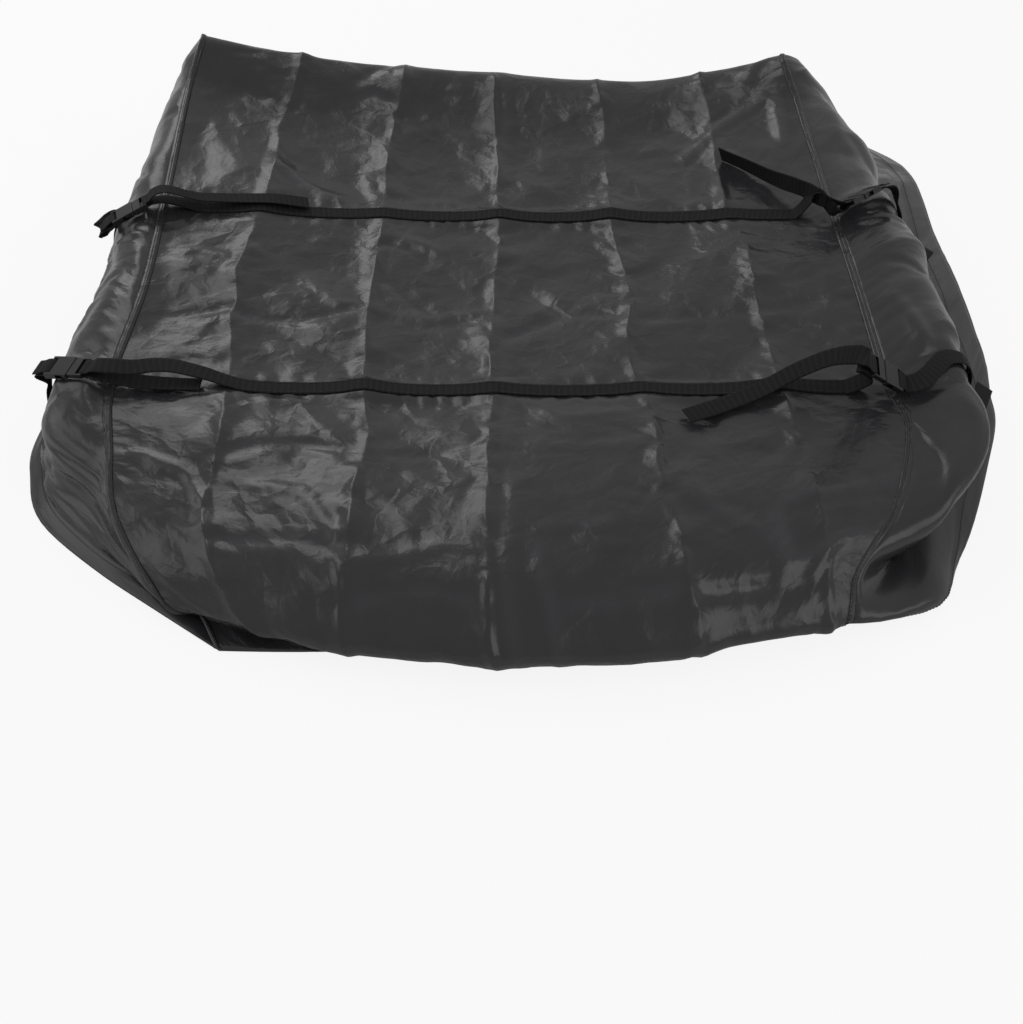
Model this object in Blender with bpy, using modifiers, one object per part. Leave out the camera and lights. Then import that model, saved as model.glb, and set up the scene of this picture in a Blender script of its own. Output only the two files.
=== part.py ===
"""Rooftop cargo bag laid on the floor, mouth down: a cloth cover with two buckled straps.

Metres, +Z up, the floor at Z = 0. X runs across the bag, +Y towards its rear.
The bag is one centre panel (rear wall, top and front wall in one piece) and two side panels,
sewn together along bound seams. Two webbing straps are sewn across the top. Each end of a strap
runs through a buckle plug, and a short wall strap from the hem holds the buckle's socket.
"""

import math

import bmesh
import bpy
import numpy as np
from mathutils import Matrix, Vector

# Top of the bag as it lies, measured between the bound seams.
TOP_WIDTH = 0.99
TOP_DEPTH = 0.91
REAR_CORNER_HEIGHT = 0.25
REAR_SAG = 0.07
REAR_RIGHT_SAG = 0.018
REAR_SAG_REACH = 0.12
SEAM_HEIGHT = 0.165
VALLEY_DEPTH = 0.062
FRONT_CORNER_HEIGHT = 0.10

# How far each hem lies outside the edge of the top.
REAR_FLARE = 0.24
FRONT_FLARE = 0.30
LEFT_FLARE = 0.14
RIGHT_FLARE = 0.225

# Where the two straps cross the top.
REAR_STRAP_Y = 0.06
FRONT_STRAP_Y = -0.335

# Cloth, modelled thicker than the real coated fabric.
CLOTH = 0.0014
HEM_LIFT = CLOTH / 2
HEM_WIDTH = 0.025
SEAM_GAP = 0.001
WALL_CELLS = 9

# Packing creases: six folded panels across, with ridges that stand proud along the fold lines.
FOLDS_ACROSS = 6
CELLS_PER_FOLD = 6
RIDGE_HEIGHT = 0.009
FOLD_SPACING = 0.17
CROSS_RIDGE_HEIGHT = 0.004
WAVE_HEIGHT = 0.004

# Side panels: the slack in each wall lies in a tuck.
LEFT_TUCK = 0.02
RIGHT_TUCK = 0.055
TUCK_RISE = 0.25
TUCK_REAR_FADE = 0.55
TUCK_FRONT_FADE = 0.09

# Seam binding, a folded tape.
BINDING_WIDTH = 0.011
BINDING_THICKNESS = 0.0018
BINDING_CROWN = 0.001
TAPE_GAP = 0.0009

# Webbing.
WEBBING_WIDTH = 0.025
WEBBING = 0.0016
WEBBING_GAP = 0.0006
WALL_STRAP_RISE = 0.005

# Side-release buckle, in its own frame: X towards the plug, Y across, Z through.
SOCKET_LENGTH = 0.034
SOCKET_WIDTH = 0.034
SOCKET_THICKNESS = 0.0085
SOCKET_WALL = 0.0015
MOUTH_DEPTH = 0.021
WINDOW_START = 0.006
WINDOW_LENGTH = 0.011
BAR_LENGTH = 0.004
SLOT_LENGTH = 0.0045
SLOT_WIDTH = 0.0265
PLUG_SLOT_LENGTH = 0.0055
BAR_THICKNESS = 0.003
PLUG_BODY_LENGTH = 0.022
PLUG_WIDTH = 0.031
PLUG_THICKNESS = 0.007
PLUG_CLEARANCE = 0.0003
ARM_LENGTH = 0.018
ARM_WIDTH = 0.003
ARM_THICKNESS = 0.0038
BARB_REACH = 0.0152
GUIDE_WIDTH = 0.003
GUIDE_LENGTH = 0.014
BUCKLE_BEVEL = 0.0009

MM = 0.001

CLOTH_COLOUR = (0.045, 0.045, 0.048, 1.0)
BINDING_COLOUR = (0.022, 0.022, 0.024, 1.0)
WEBBING_COLOUR = (0.014, 0.014, 0.015, 1.0)
BUCKLE_COLOUR = (0.012, 0.012, 0.013, 1.0)


def clear_scene():
    for obj in list(bpy.data.objects):
        bpy.data.objects.remove(obj, do_unlink=True)


def new_collection(name):
    collection = bpy.data.collections.new(name)
    bpy.context.scene.collection.children.link(collection)
    return collection


def material(name, colour, roughness):
    made = bpy.data.materials.new(name)
    made.use_nodes = True
    shader = made.node_tree.nodes["Principled BSDF"]
    shader.inputs["Base Color"].default_value = colour
    shader.inputs["Roughness"].default_value = roughness
    shader.inputs["Metallic"].default_value = 0.0
    return made


def add_object(name, mesh, look, collection):
    obj = bpy.data.objects.new(name, mesh)
    obj.data.materials.append(material(name, *look))
    collection.objects.link(obj)
    return obj


# Curves.


def spline(knots, values, t):
    """A smooth curve through values at knots, read at each t."""
    knots = np.asarray(knots, float)
    values = np.asarray(values, float)
    t = np.clip(np.atleast_1d(np.asarray(t, float)), knots[0], knots[-1])
    slopes = np.gradient(values, knots, axis=0)
    i = np.clip(np.searchsorted(knots, t, side="right") - 1, 0, len(knots) - 2)
    span = knots[i + 1] - knots[i]
    f = ((t - knots[i]) / span)[:, None]
    span = span[:, None]
    ease = f * f * (3 - 2 * f)
    start = values[i] + (values[i + 1] - values[i]) * ease
    lead = slopes[i] * span * f * (1 - f) ** 2
    trail = slopes[i + 1] * span * f * f * (1 - f)
    return start + lead - trail


def distances(points):
    steps = np.linalg.norm(np.diff(points, axis=0), axis=1)
    return np.concatenate([[0.0], np.cumsum(steps)])


def tent(distance, reach):
    """A ridge with a sharp crest: 1 at the crest, falling to 0."""
    return np.exp(-np.abs(distance) / reach)


# The centre panel as a surface: s runs from the rear hem to the front hem, u from left to right.


def rows():
    """Cross sections from the rear hem to the front hem: left seam, middle and right seam."""
    w = TOP_WIDTH / 2
    rear = TOP_DEPTH / 2
    front = -TOP_DEPTH / 2
    low = HEM_LIFT
    mid_rear = REAR_CORNER_HEIGHT - REAR_SAG
    valley = SEAM_HEIGHT - VALLEY_DEPTH
    corner = FRONT_CORNER_HEIGHT
    hem = rear + REAR_FLARE
    lip = front - FRONT_FLARE
    return [
        # rear hem
        ((-w - LEFT_FLARE, hem, low), (0, hem - 0.02, low), (w + 0.18, hem - 0.12, low)),
        # rear wall
        ((-w - 0.115, rear + 0.175, 0.045), (0, rear + 0.165, 0.04), (w + 0.13, rear + 0.065, 0.045)),
        ((-w - 0.065, rear + 0.09, 0.135), (0, rear + 0.085, 0.11), (w + 0.05, rear + 0.02, 0.135)),
        # rear edge of the top
        (
            (-w - 0.005, rear, REAR_CORNER_HEIGHT),
            (0, rear + 0.02, mid_rear),
            (w - 0.02, rear - 0.04, REAR_CORNER_HEIGHT - 0.015),
        ),
        # slope down from the rear edge
        (
            (-w - 0.015, rear - 0.10, SEAM_HEIGHT + 0.045),
            (0, rear - 0.13, valley + 0.025),
            (w - 0.01, rear - 0.16, SEAM_HEIGHT + 0.035),
        ),
        # rear strap
        (
            (-w, REAR_STRAP_Y - 0.03, SEAM_HEIGHT),
            (0, REAR_STRAP_Y + 0.045, valley),
            (w - 0.003, REAR_STRAP_Y - 0.055, SEAM_HEIGHT),
        ),
        # between the straps
        (
            (-w + 0.008, REAR_STRAP_Y - 0.225, SEAM_HEIGHT - 0.02),
            (0, REAR_STRAP_Y - 0.16, valley - 0.016),
            (w, REAR_STRAP_Y - 0.22, SEAM_HEIGHT - 0.015),
        ),
        # front strap
        (
            (-w, FRONT_STRAP_Y - 0.02, corner + 0.018),
            (0, FRONT_STRAP_Y + 0.01, valley - 0.018),
            (w + 0.008, FRONT_STRAP_Y - 0.025, corner + 0.018),
        ),
        # front edge of the top
        (
            (-w + 0.018, front, corner),
            (0, front - 0.025, corner - 0.005),
            (w + 0.022, front + 0.025, corner),
        ),
        # front wall, bulging forward
        ((-w + 0.04, front - 0.095, 0.07), (0, front - 0.15, 0.10), (w - 0.02, front - 0.10, 0.085)),
        ((-w + 0.09, front - 0.17, 0.035), (0, front - 0.25, 0.08), (w - 0.08, front - 0.19, 0.06)),
        # lowest edge, where the cloth turns under
        ((-w + 0.125, front - 0.205, 0.018), (0, lip, 0.036), (w - 0.095, front - 0.235, 0.03)),
        # turned under, down to the front hem
        ((-w + 0.150, front - 0.200, 0.009), (0, lip + 0.020, 0.010), (w - 0.105, front - 0.215, 0.012)),
        ((-w + 0.180, front - 0.175, low), (0, lip + 0.060, low), (w - 0.125, front - 0.180, low)),
    ]


ROWS = np.array(rows(), float)
KNOTS = distances(ROWS[:, 1])
REAR_HEM, REAR_EDGE, REAR_STRAP = KNOTS[[0, 3, 5]]
FRONT_STRAP, FRONT_EDGE, FRONT_LIP, FRONT_HEM = KNOTS[[7, 8, 11, 13]]


def seam_column(side):
    return ROWS[:, 0] if side == "left" else ROWS[:, -1]


def seam_line(side, s):
    """The edge of the centre panel on one side."""
    return spline(KNOTS, seam_column(side), s)


def creases(u, s):
    """Height of the packing creases and soft waves over the cloth."""
    across = u * FOLDS_ACROSS
    off_line = (across - np.round(across)) * TOP_WIDTH / FOLDS_ACROSS
    inner = (np.round(across) > 0) & (np.round(across) < FOLDS_ACROSS)
    fade = np.clip((s - REAR_EDGE) / 0.1, 0, 1) * np.clip((FRONT_LIP - s) / 0.08, 0, 1)
    ridge = inner * tent(off_line, 0.035) * RIDGE_HEIGHT * fade
    down = (s - REAR_STRAP) / FOLD_SPACING + 0.5
    off_cross = (down - np.round(down)) * FOLD_SPACING
    seams_clear = np.sin(np.pi * np.clip(u, 0, 1))
    cross = tent(off_cross, 0.03) * CROSS_RIDGE_HEIGHT * fade * seams_clear
    wave = np.sin(9.0 * u + 14.0 * s) * np.sin(17.0 * u - 9.0 * s + 1.0)
    return ridge + cross + WAVE_HEIGHT * wave * fade * seams_clear


def centre_surface(u, s):
    """Points of the centre panel for arrays of u and s."""
    left = seam_line("left", s)
    middle = spline(KNOTS, ROWS[:, 1], s)
    right = seam_line("right", s)
    middle[:, 0] = (left[:, 0] + right[:, 0]) / 2
    u = np.asarray(u, float)[:, None]
    points = left * (1 - u) * (1 - 2 * u) + middle * 4 * u * (1 - u) + right * u * (2 * u - 1)
    off_edge = (np.asarray(s, float) - REAR_EDGE) / REAR_SAG_REACH
    right_half = np.clip(2 * u[:, 0] - 1, 0, 1)
    points[:, 2] -= REAR_RIGHT_SAG * np.sin(np.pi * right_half**1.2) * np.exp(-(off_edge**2))
    points[:, 2] += creases(u[:, 0], np.asarray(s, float))
    return points


def centre_normal(u, s):
    step = 0.004
    along = centre_surface(u, s + step) - centre_surface(u, s - step)
    across = centre_surface(u + step, s) - centre_surface(u - step, s)
    normal = np.cross(along, across)
    return normal / np.linalg.norm(normal, axis=1)[:, None]


# The side panels, each spanned between its seam line and its hem.

# Each hem point has the share of the side panel's length that it belongs to.
LEFT_HEM = [
    (0.10, -TOP_WIDTH / 2 - LEFT_FLARE - 0.010, TOP_DEPTH / 2 + 0.10),
    (0.39, -TOP_WIDTH / 2 - LEFT_FLARE, 0.12),
    (0.70, -TOP_WIDTH / 2 - LEFT_FLARE + 0.010, -0.12),
    (0.86, -TOP_WIDTH / 2 - LEFT_FLARE + 0.010, -TOP_DEPTH / 2 + 0.19),
    (0.915, -TOP_WIDTH / 2 - LEFT_FLARE + 0.020, -TOP_DEPTH / 2 + 0.065),
    (0.95, -TOP_WIDTH / 2 - 0.070, -TOP_DEPTH / 2 - 0.045),
    (0.97, -TOP_WIDTH / 2 + 0.010, -TOP_DEPTH / 2 - 0.12),
    (0.99, -TOP_WIDTH / 2 + 0.100, -TOP_DEPTH / 2 - 0.19),
]
RIGHT_HEM = [
    (0.14, TOP_WIDTH / 2 + RIGHT_FLARE + 0.012, TOP_DEPTH / 2 + 0.03),
    (0.39, TOP_WIDTH / 2 + RIGHT_FLARE + 0.011, 0.22),
    (0.70, TOP_WIDTH / 2 + RIGHT_FLARE + 0.003, -0.04),
    (0.86, TOP_WIDTH / 2 + RIGHT_FLARE - 0.018, -TOP_DEPTH / 2 + 0.25),
    (0.92, TOP_WIDTH / 2 + RIGHT_FLARE - 0.050, -TOP_DEPTH / 2 + 0.12),
    (0.96, TOP_WIDTH / 2 + 0.075, -TOP_DEPTH / 2 - 0.10),
    (0.98, TOP_WIDTH / 2 + 0.015, -TOP_DEPTH / 2 - 0.18),
    (0.99, TOP_WIDTH / 2 - 0.060, -TOP_DEPTH / 2 - 0.19),
]


def hem_line(side, t):
    """The side panel's hem on the floor, from its rear corner to its front corner."""
    chosen = LEFT_HEM if side == "left" else RIGHT_HEM
    knots = [0.0] + [share for share, x, y in chosen] + [1.0]
    seam = seam_column(side)
    points = [seam[0]] + [(x, y, HEM_LIFT) for share, x, y in chosen] + [seam[-1]]
    return spline(knots, points, t)


def side_surface(side, t, w):
    """Points of a side panel: t from rear to front, w from the top seam to the hem."""
    t = np.asarray(t, float)
    w = np.asarray(w, float)
    top = seam_line(side, REAR_EDGE + t * (FRONT_EDGE - REAR_EDGE))
    hem = hem_line(side, t)
    rear = seam_line(side, REAR_EDGE - w * (REAR_EDGE - REAR_HEM))
    front = seam_line(side, FRONT_EDGE + w * (FRONT_HEM - FRONT_EDGE))
    rear_top, front_top = seam_line(side, [REAR_EDGE, FRONT_EDGE])
    rear_hem, front_hem = seam_line(side, [REAR_HEM, FRONT_HEM])
    t = t[:, None]
    w = w[:, None]
    corners = (1 - t) * (1 - w) * rear_top + t * (1 - w) * front_top
    corners = corners + (1 - t) * w * rear_hem + t * w * front_hem
    points = (1 - w) * top + w * hem + (1 - t) * rear + t * front - corners
    outward = hem[:, :2] - top[:, :2]
    outward /= np.linalg.norm(outward, axis=1)[:, None]
    tuck = LEFT_TUCK if side == "left" else RIGHT_TUCK
    body = np.clip(t[:, 0] / TUCK_REAR_FADE, 0, 1) * np.clip((1 - t[:, 0]) / TUCK_FRONT_FADE, 0, 1)
    turn = np.sin(2 * np.pi * w[:, 0]) * np.sin(np.pi / 2 * body)
    points[:, :2] += outward * (tuck * turn)[:, None]
    points[:, 2] = HEM_LIFT + (points[:, 2] - HEM_LIFT) * (1 + TUCK_RISE * turn)
    return points


# Cloth meshes.


def grid_mesh(name, across, along, place):
    """A grid whose vertex (i, j) stands at place(across[i], along[j])."""
    bm = bmesh.new()
    columns = len(across) - 1
    lines = len(along) - 1
    bmesh.ops.create_grid(bm, x_segments=columns, y_segments=lines, size=0.5)
    bm.verts.ensure_lookup_table()
    i = np.array([round((vert.co.x + 0.5) * columns) for vert in bm.verts])
    j = np.array([round((vert.co.y + 0.5) * lines) for vert in bm.verts])
    points = place(np.asarray(across)[i], np.asarray(along)[j])
    for vert, point in zip(bm.verts, points):
        vert.co = point
    mesh = bpy.data.meshes.new(name)
    bm.to_mesh(mesh)
    bm.free()
    return mesh


def thicken(obj, thickness):
    solid = obj.modifiers.new("thickness", "SOLIDIFY")
    solid.thickness = thickness
    solid.offset = 0.0
    solid.use_rim = True
    return obj


TOP_LENGTH = FRONT_EDGE - REAR_EDGE
REAR_WALL = REAR_EDGE - REAR_HEM
FRONT_WALL = FRONT_HEM - FRONT_EDGE
BED = WEBBING_WIDTH / 2 + MM

# Steps down a wall from the top (0) to the hem (1), the last of them the hem's own width.
WALL_STEPS = np.append(np.linspace(0.0, 1.0 - HEM_WIDTH / REAR_WALL, WALL_CELLS), 1.0)


def top_lines():
    """Cross lines of the top, with a flat bed under each strap."""
    stops = [REAR_EDGE, REAR_STRAP - BED, REAR_STRAP + BED]
    stops += [FRONT_STRAP - BED, FRONT_STRAP + BED, FRONT_EDGE]
    cells = [8, 1, 9, 1, 5]
    lines = [REAR_EDGE]
    for start, end, count in zip(stops[:-1], stops[1:], cells):
        lines += list(np.linspace(start, end, count + 1)[1:])
    return np.array(lines)


TOP_LINES = top_lines()
REAR_LINES = REAR_EDGE - WALL_STEPS[::-1] * REAR_WALL
FRONT_LINES = FRONT_EDGE + WALL_STEPS * FRONT_WALL
LINES = np.concatenate([REAR_LINES, TOP_LINES[1:-1], FRONT_LINES])


def build_centre_panel(parts):
    edge = SEAM_GAP / TOP_WIDTH
    tape = BINDING_WIDTH / 2 / TOP_WIDTH
    inner = np.linspace(0.0, 1.0, FOLDS_ACROSS * CELLS_PER_FOLD + 1)[1:-1]
    across = np.array([edge, tape, *inner, 1 - tape, 1 - edge])
    mesh = grid_mesh("centre_panel", across, LINES, centre_surface)
    return thicken(add_object("centre_panel", mesh, (CLOTH_COLOUR, 0.45), parts), CLOTH)


def build_side_panel(name, side, parts):
    edge = SEAM_GAP / TOP_LENGTH
    tape = BINDING_WIDTH / 2 / TOP_LENGTH
    inner = (TOP_LINES[1:-1] - REAR_EDGE) / TOP_LENGTH
    along = np.array([edge, tape, *inner, 1 - tape, 1 - edge])
    edge = SEAM_GAP / REAR_WALL
    tape = BINDING_WIDTH / 2 / REAR_WALL
    down = np.array([edge, tape, *WALL_STEPS[1:]])
    mesh = grid_mesh(name, along, down, lambda t, w: side_surface(side, t, w))
    return thicken(add_object(name, mesh, (CLOTH_COLOUR, 0.45), parts), CLOTH)


def side_normal(side, t, w):
    step = 0.004
    along = side_surface(side, t + step, w) - side_surface(side, t - step, w)
    down = side_surface(side, t, w + step) - side_surface(side, t, w - step)
    normal = np.cross(along, down) * (-1.0 if side == "left" else 1.0)
    return normal / np.linalg.norm(normal, axis=1)[:, None]


def binding_surface(side, a, s):
    """The tape: a = -1 on the side panel, 0 over the seam, 1 on the centre panel."""
    lift = CLOTH / 2 + TAPE_GAP + BINDING_THICKNESS / 2
    tape_t = BINDING_WIDTH / 2 / TOP_LENGTH
    tape_w = BINDING_WIDTH / 2 / REAR_WALL
    t = np.clip((s - REAR_EDGE) / TOP_LENGTH, tape_t, 1 - tape_t)
    down_rear = (REAR_EDGE - s) / REAR_WALL
    down_front = (s - FRONT_EDGE) / FRONT_WALL
    w = np.clip(np.maximum(down_rear, down_front), tape_w, 1.0)
    u = np.full(len(s), BINDING_WIDTH / 2 / TOP_WIDTH)
    u = u if side == "left" else 1 - u
    over_side = side_normal(side, t, w)
    over_centre = centre_normal(u, s)
    crest = over_side + over_centre
    crest /= np.linalg.norm(crest, axis=1)[:, None]
    outer = side_surface(side, t, w) - seam_line(side, s)
    reach = np.linalg.norm(outer, axis=1)
    outer *= np.minimum(1.0, BINDING_WIDTH / 2 / reach)[:, None]
    outer += seam_line(side, s) + over_side * lift
    inner = centre_surface(u, s) + over_centre * lift
    middle = seam_line(side, s) + crest * (lift + BINDING_CROWN)
    a = a[:, None]
    return np.where(a < 0, outer, np.where(a > 0, inner, middle))


def build_binding(name, side, parts):
    """A tape folded over the seam, from just above the rear hem to just above the front hem."""
    across = np.array([-1.0, 0.0, 1.0])
    mesh = grid_mesh(name, across, LINES[1:-1], lambda a, s: binding_surface(side, a, s))
    return thicken(add_object(name, mesh, (BINDING_COLOUR, 0.6), parts), BINDING_THICKNESS)


# Buckles. Each stands in its own frame at the mouth of its socket.


def seam_distance_point(side, s, distance):
    """The point of a side panel at this distance from the seam, with its up and uphill directions."""
    t = np.array([(s - REAR_EDGE) / TOP_LENGTH])
    w = np.array([distance / REAR_WALL])
    step = np.array([max(0.5 * distance, 0.005) / REAR_WALL])
    point = side_surface(side, t, w)[0]
    uphill = side_surface(side, t, w - step)[0] - side_surface(side, t, w + step)[0]
    return Vector(point), Vector(side_normal(side, t, w)[0]), Vector(uphill).normalized()


def frame(place, toward, face):
    x = toward.normalized()
    y = face.cross(x).normalized()
    z = x.cross(y)
    matrix = Matrix((x, y, z)).transposed().to_4x4()
    matrix.translation = place
    return matrix


def buckle_frame(side, s, distance, ahead, lift, roll, tilt, turn):
    """Where a buckle lies: distance from the seam, distance in front of the strap's line,
    height over the cloth, and how it is turned."""
    point, up, uphill = seam_distance_point(side, s + ahead, distance)
    matrix = frame(point + up * lift, uphill, up)
    turned = Matrix.Rotation(math.radians(turn), 4, "Z") @ Matrix.Rotation(math.radians(-tilt), 4, "Y")
    return matrix @ turned @ Matrix.Rotation(math.radians(roll), 4, "X")


def box(name, low, high, collection, bevel=0.0):
    """A box between two corners, its edges rounded by a Bevel modifier."""
    bm = bmesh.new()
    bmesh.ops.create_cube(bm, size=1.0)
    middle = (Vector(low) + Vector(high)) / 2
    size = Vector(high) - Vector(low)
    bmesh.ops.scale(bm, vec=size, verts=bm.verts)
    bmesh.ops.translate(bm, vec=middle, verts=bm.verts)
    mesh = bpy.data.meshes.new(name)
    bm.to_mesh(mesh)
    bm.free()
    obj = bpy.data.objects.new(name, mesh)
    collection.objects.link(obj)
    if bevel:
        rounded = obj.modifiers.new("bevel", "BEVEL")
        rounded.width = bevel
        rounded.segments = 2
        rounded.limit_method = "ANGLE"
    return obj


def prism(name, outline, half_thickness, collection):
    """A flat outline in X and Y, extruded both ways along Z."""
    bm = bmesh.new()
    ring = [bm.verts.new((x, y, -half_thickness)) for x, y in outline]
    face = bm.faces.new(ring)
    if face.normal.z > 0:
        face.normal_flip()
    raised = bmesh.ops.extrude_face_region(bm, geom=[face])
    moved = [item for item in raised["geom"] if isinstance(item, bmesh.types.BMVert)]
    bmesh.ops.translate(bm, vec=(0, 0, 2 * half_thickness), verts=moved)
    bmesh.ops.recalc_face_normals(bm, faces=bm.faces)
    mesh = bpy.data.meshes.new(name)
    bm.to_mesh(mesh)
    bm.free()
    obj = bpy.data.objects.new(name, mesh)
    collection.objects.link(obj)
    return obj


def combine(obj, other, operation):
    boolean = obj.modifiers.new(operation.lower(), "BOOLEAN")
    boolean.operation = operation
    boolean.solver = "EXACT"
    boolean.object = other
    other.hide_render = True
    other.display_type = "WIRE"


def follow(obj, others, matrix):
    obj.matrix_world = matrix
    for other in others:
        other.parent = obj


def build_socket(name, matrix, parts, cutters):
    """The socket: an open box with side windows for the barbs, and a bar for the wall strap."""
    half_width = SOCKET_WIDTH / 2
    half_thick = SOCKET_THICKNESS / 2
    inner_width = half_width - SOCKET_WALL
    inner_thick = half_thick - SOCKET_WALL
    far = -SOCKET_LENGTH
    body = box(name, (far, -half_width, -half_thick), (0, half_width, half_thick), parts, BUCKLE_BEVEL)
    body.data.materials.append(material(name, BUCKLE_COLOUR, 0.4))
    bore = box(
        name + "_mouth",
        (-MOUTH_DEPTH, -inner_width, -inner_thick),
        (MM, inner_width, inner_thick),
        cutters,
    )
    window_end = -WINDOW_START - WINDOW_LENGTH
    window = box(
        name + "_windows",
        (window_end, -half_width - MM, -inner_thick),
        (-WINDOW_START, half_width + MM, inner_thick),
        cutters,
    )
    slot_start = far + BAR_LENGTH
    slot_end = slot_start + SLOT_LENGTH
    slot = box(
        name + "_slot",
        (slot_start, -SLOT_WIDTH / 2, -half_thick - MM),
        (slot_end, SLOT_WIDTH / 2, half_thick + MM),
        cutters,
    )
    over = box(
        name + "_bar_top",
        (far - MM, -SLOT_WIDTH / 2, BAR_THICKNESS / 2),
        (slot_start + MM, SLOT_WIDTH / 2, half_thick + MM),
        cutters,
    )
    under = box(
        name + "_bar_bottom",
        (far - MM, -SLOT_WIDTH / 2, -half_thick - MM),
        (slot_start + MM, SLOT_WIDTH / 2, -BAR_THICKNESS / 2),
        cutters,
    )
    used = [bore, window, slot, over, under]
    for cutter in used:
        combine(body, cutter, "DIFFERENCE")
    follow(body, used, matrix)
    return body


def plug_arm(sign):
    """Outline of one spring arm with its barb, on the side given by sign."""
    outer = BARB_REACH - 0.0022
    inner = outer - ARM_WIDTH
    root = MM
    points = [
        (root, inner),
        (-ARM_LENGTH + 0.001, inner + 0.001),
        (-ARM_LENGTH, inner + 0.002),
        (-ARM_LENGTH + 0.0015, outer),
        (-WINDOW_START - 0.003, BARB_REACH),
        (-WINDOW_START - 0.001, BARB_REACH),
        (-WINDOW_START - 0.001, outer),
        (root, outer),
    ]
    return [(x, sign * y) for x, y in points]


def build_plug(name, matrix, parts, cutters):
    """The plug: a body with a strap slot and bar, two barbed spring arms and a centre guide."""
    near = PLUG_CLEARANCE
    far = near + PLUG_BODY_LENGTH
    half_width = PLUG_WIDTH / 2
    half_thick = PLUG_THICKNESS / 2
    body = box(name, (near, -half_width, -half_thick), (far, half_width, half_thick), parts, BUCKLE_BEVEL)
    body.data.materials.append(material(name, BUCKLE_COLOUR, 0.4))
    arms = [
        prism(name + "_arm_left", plug_arm(1), ARM_THICKNESS / 2, cutters),
        prism(name + "_arm_right", plug_arm(-1), ARM_THICKNESS / 2, cutters),
    ]
    guide_half = GUIDE_WIDTH / 2
    guide = box(
        name + "_guide",
        (-GUIDE_LENGTH, -guide_half, -ARM_THICKNESS / 2),
        (near + MM, guide_half, ARM_THICKNESS / 2),
        cutters,
    )
    for piece in [*arms, guide]:
        combine(body, piece, "UNION")
    bar_start = far - BAR_LENGTH
    slot_start = bar_start - PLUG_SLOT_LENGTH
    slot = box(
        name + "_slot",
        (slot_start, -SLOT_WIDTH / 2, -half_thick - MM),
        (bar_start, SLOT_WIDTH / 2, half_thick + MM),
        cutters,
    )
    over = box(
        name + "_bar_top",
        (bar_start - MM, -SLOT_WIDTH / 2, BAR_THICKNESS / 2),
        (far + MM, SLOT_WIDTH / 2, half_thick + MM),
        cutters,
    )
    under = box(
        name + "_bar_bottom",
        (bar_start - MM, -SLOT_WIDTH / 2, -half_thick - MM),
        (far + MM, SLOT_WIDTH / 2, -BAR_THICKNESS / 2),
        cutters,
    )
    for cutter in [slot, over, under]:
        combine(body, cutter, "DIFFERENCE")
    follow(body, [*arms, guide, slot, over, under], matrix)
    return body


# Webbing. A ribbon is a path of centre points, each with the direction of the ribbon's width.

WRAP = BAR_THICKNESS / 2 + WEBBING_GAP + WEBBING / 2
WRAP_BEND = 0.00035


def wrap_path(matrix, sign, bar_near, bar_far, below, above):
    """Round a bar from below to above, in a buckle's frame.

    bar_near is the bar's face on the slot's side and bar_far its outer face. below and above say
    how the webbing runs on past the bar: distance beyond it, and height."""
    way = 1 if bar_far > bar_near else -1
    turn = bar_near - way * (WEBBING_GAP + WEBBING / 2)
    ahead = [(bar_far + way * run, z) for run, z in below]
    bend = [(bar_near, WRAP), (turn + way * WRAP_BEND, WRAP * 0.72), (turn, WRAP * 0.4)]
    points = ahead + [(x, -z) for x, z in bend] + bend[::-1]
    points += [(bar_far + way * run, z) for run, z in above]
    centre = [matrix @ Vector((x, 0, z)) for x, z in points]
    width = (matrix.to_3x3() @ Vector((0, sign, 0))).normalized()
    return centre, [width] * len(points)


def top_bed(s, u):
    """Centre points and width directions of a strap lying in its bed on the centre panel."""
    rear = centre_surface(u, np.full(len(u), s - BED))
    front = centre_surface(u, np.full(len(u), s + BED))
    normal = centre_normal(u, np.full(len(u), s))
    lift = CLOTH / 2 + WEBBING_GAP + WEBBING / 2
    middle = (rear + front) / 2 + normal * lift
    width = front - rear
    return [Vector(p) for p in middle], [Vector(v).normalized() for v in width]


def wall_bed(side, s, w):
    """The same on a side panel, down from the seam, standing a little off the folded cloth halfway."""
    t_rear = np.full(len(w), (s - BED - REAR_EDGE) / TOP_LENGTH)
    t_front = np.full(len(w), (s + BED - REAR_EDGE) / TOP_LENGTH)
    rear = side_surface(side, t_rear, w)
    front = side_surface(side, t_front, w)
    normal = side_normal(side, (t_rear + t_front) / 2, w)
    lift = CLOTH / 2 + WEBBING_GAP + WEBBING / 2 + WALL_STRAP_RISE * np.sin(np.pi * w)
    middle = (rear + front) / 2 + normal * lift[:, None]
    width = np.cross(np.gradient(middle, axis=0), normal)
    width *= np.sign((width * (front - rear)).sum(axis=1))[:, None]
    return [Vector(p) for p in middle], [Vector(v).normalized() for v in width]


def blend_path(start, middle, end, count):
    """A smooth free run between two fixed ends: each end gives two points and a width direction."""
    points = [start[0], start[1], *middle, end[1], end[0]]
    reach = distances(np.array(points))
    at = np.linspace(reach[1], reach[-2], count + 2)[1:-1]
    centre = [Vector(p) for p in spline(reach, np.array(points), at)]
    share = (at - at[0]) / (at[-1] - at[0])
    width = [(start[2] * (1 - f) + end[2] * f).normalized() for f in share]
    return centre, width


def build_ribbon(name, centre, width, parts):
    centre = np.array(centre)
    width = np.array(width)
    run = np.gradient(centre, axis=0)
    run /= np.linalg.norm(run, axis=1)[:, None]
    width = width - (width * run).sum(axis=1)[:, None] * run
    width /= np.linalg.norm(width, axis=1)[:, None]

    def place(a, k):
        k = k.astype(int)
        return centre[k] + width[k] * (a * WEBBING_WIDTH)[:, None]

    mesh = grid_mesh(name, np.array([-0.5, 0.5]), np.arange(len(centre)), place)
    return thicken(add_object(name, mesh, (WEBBING_COLOUR, 0.75), parts), WEBBING)


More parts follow.
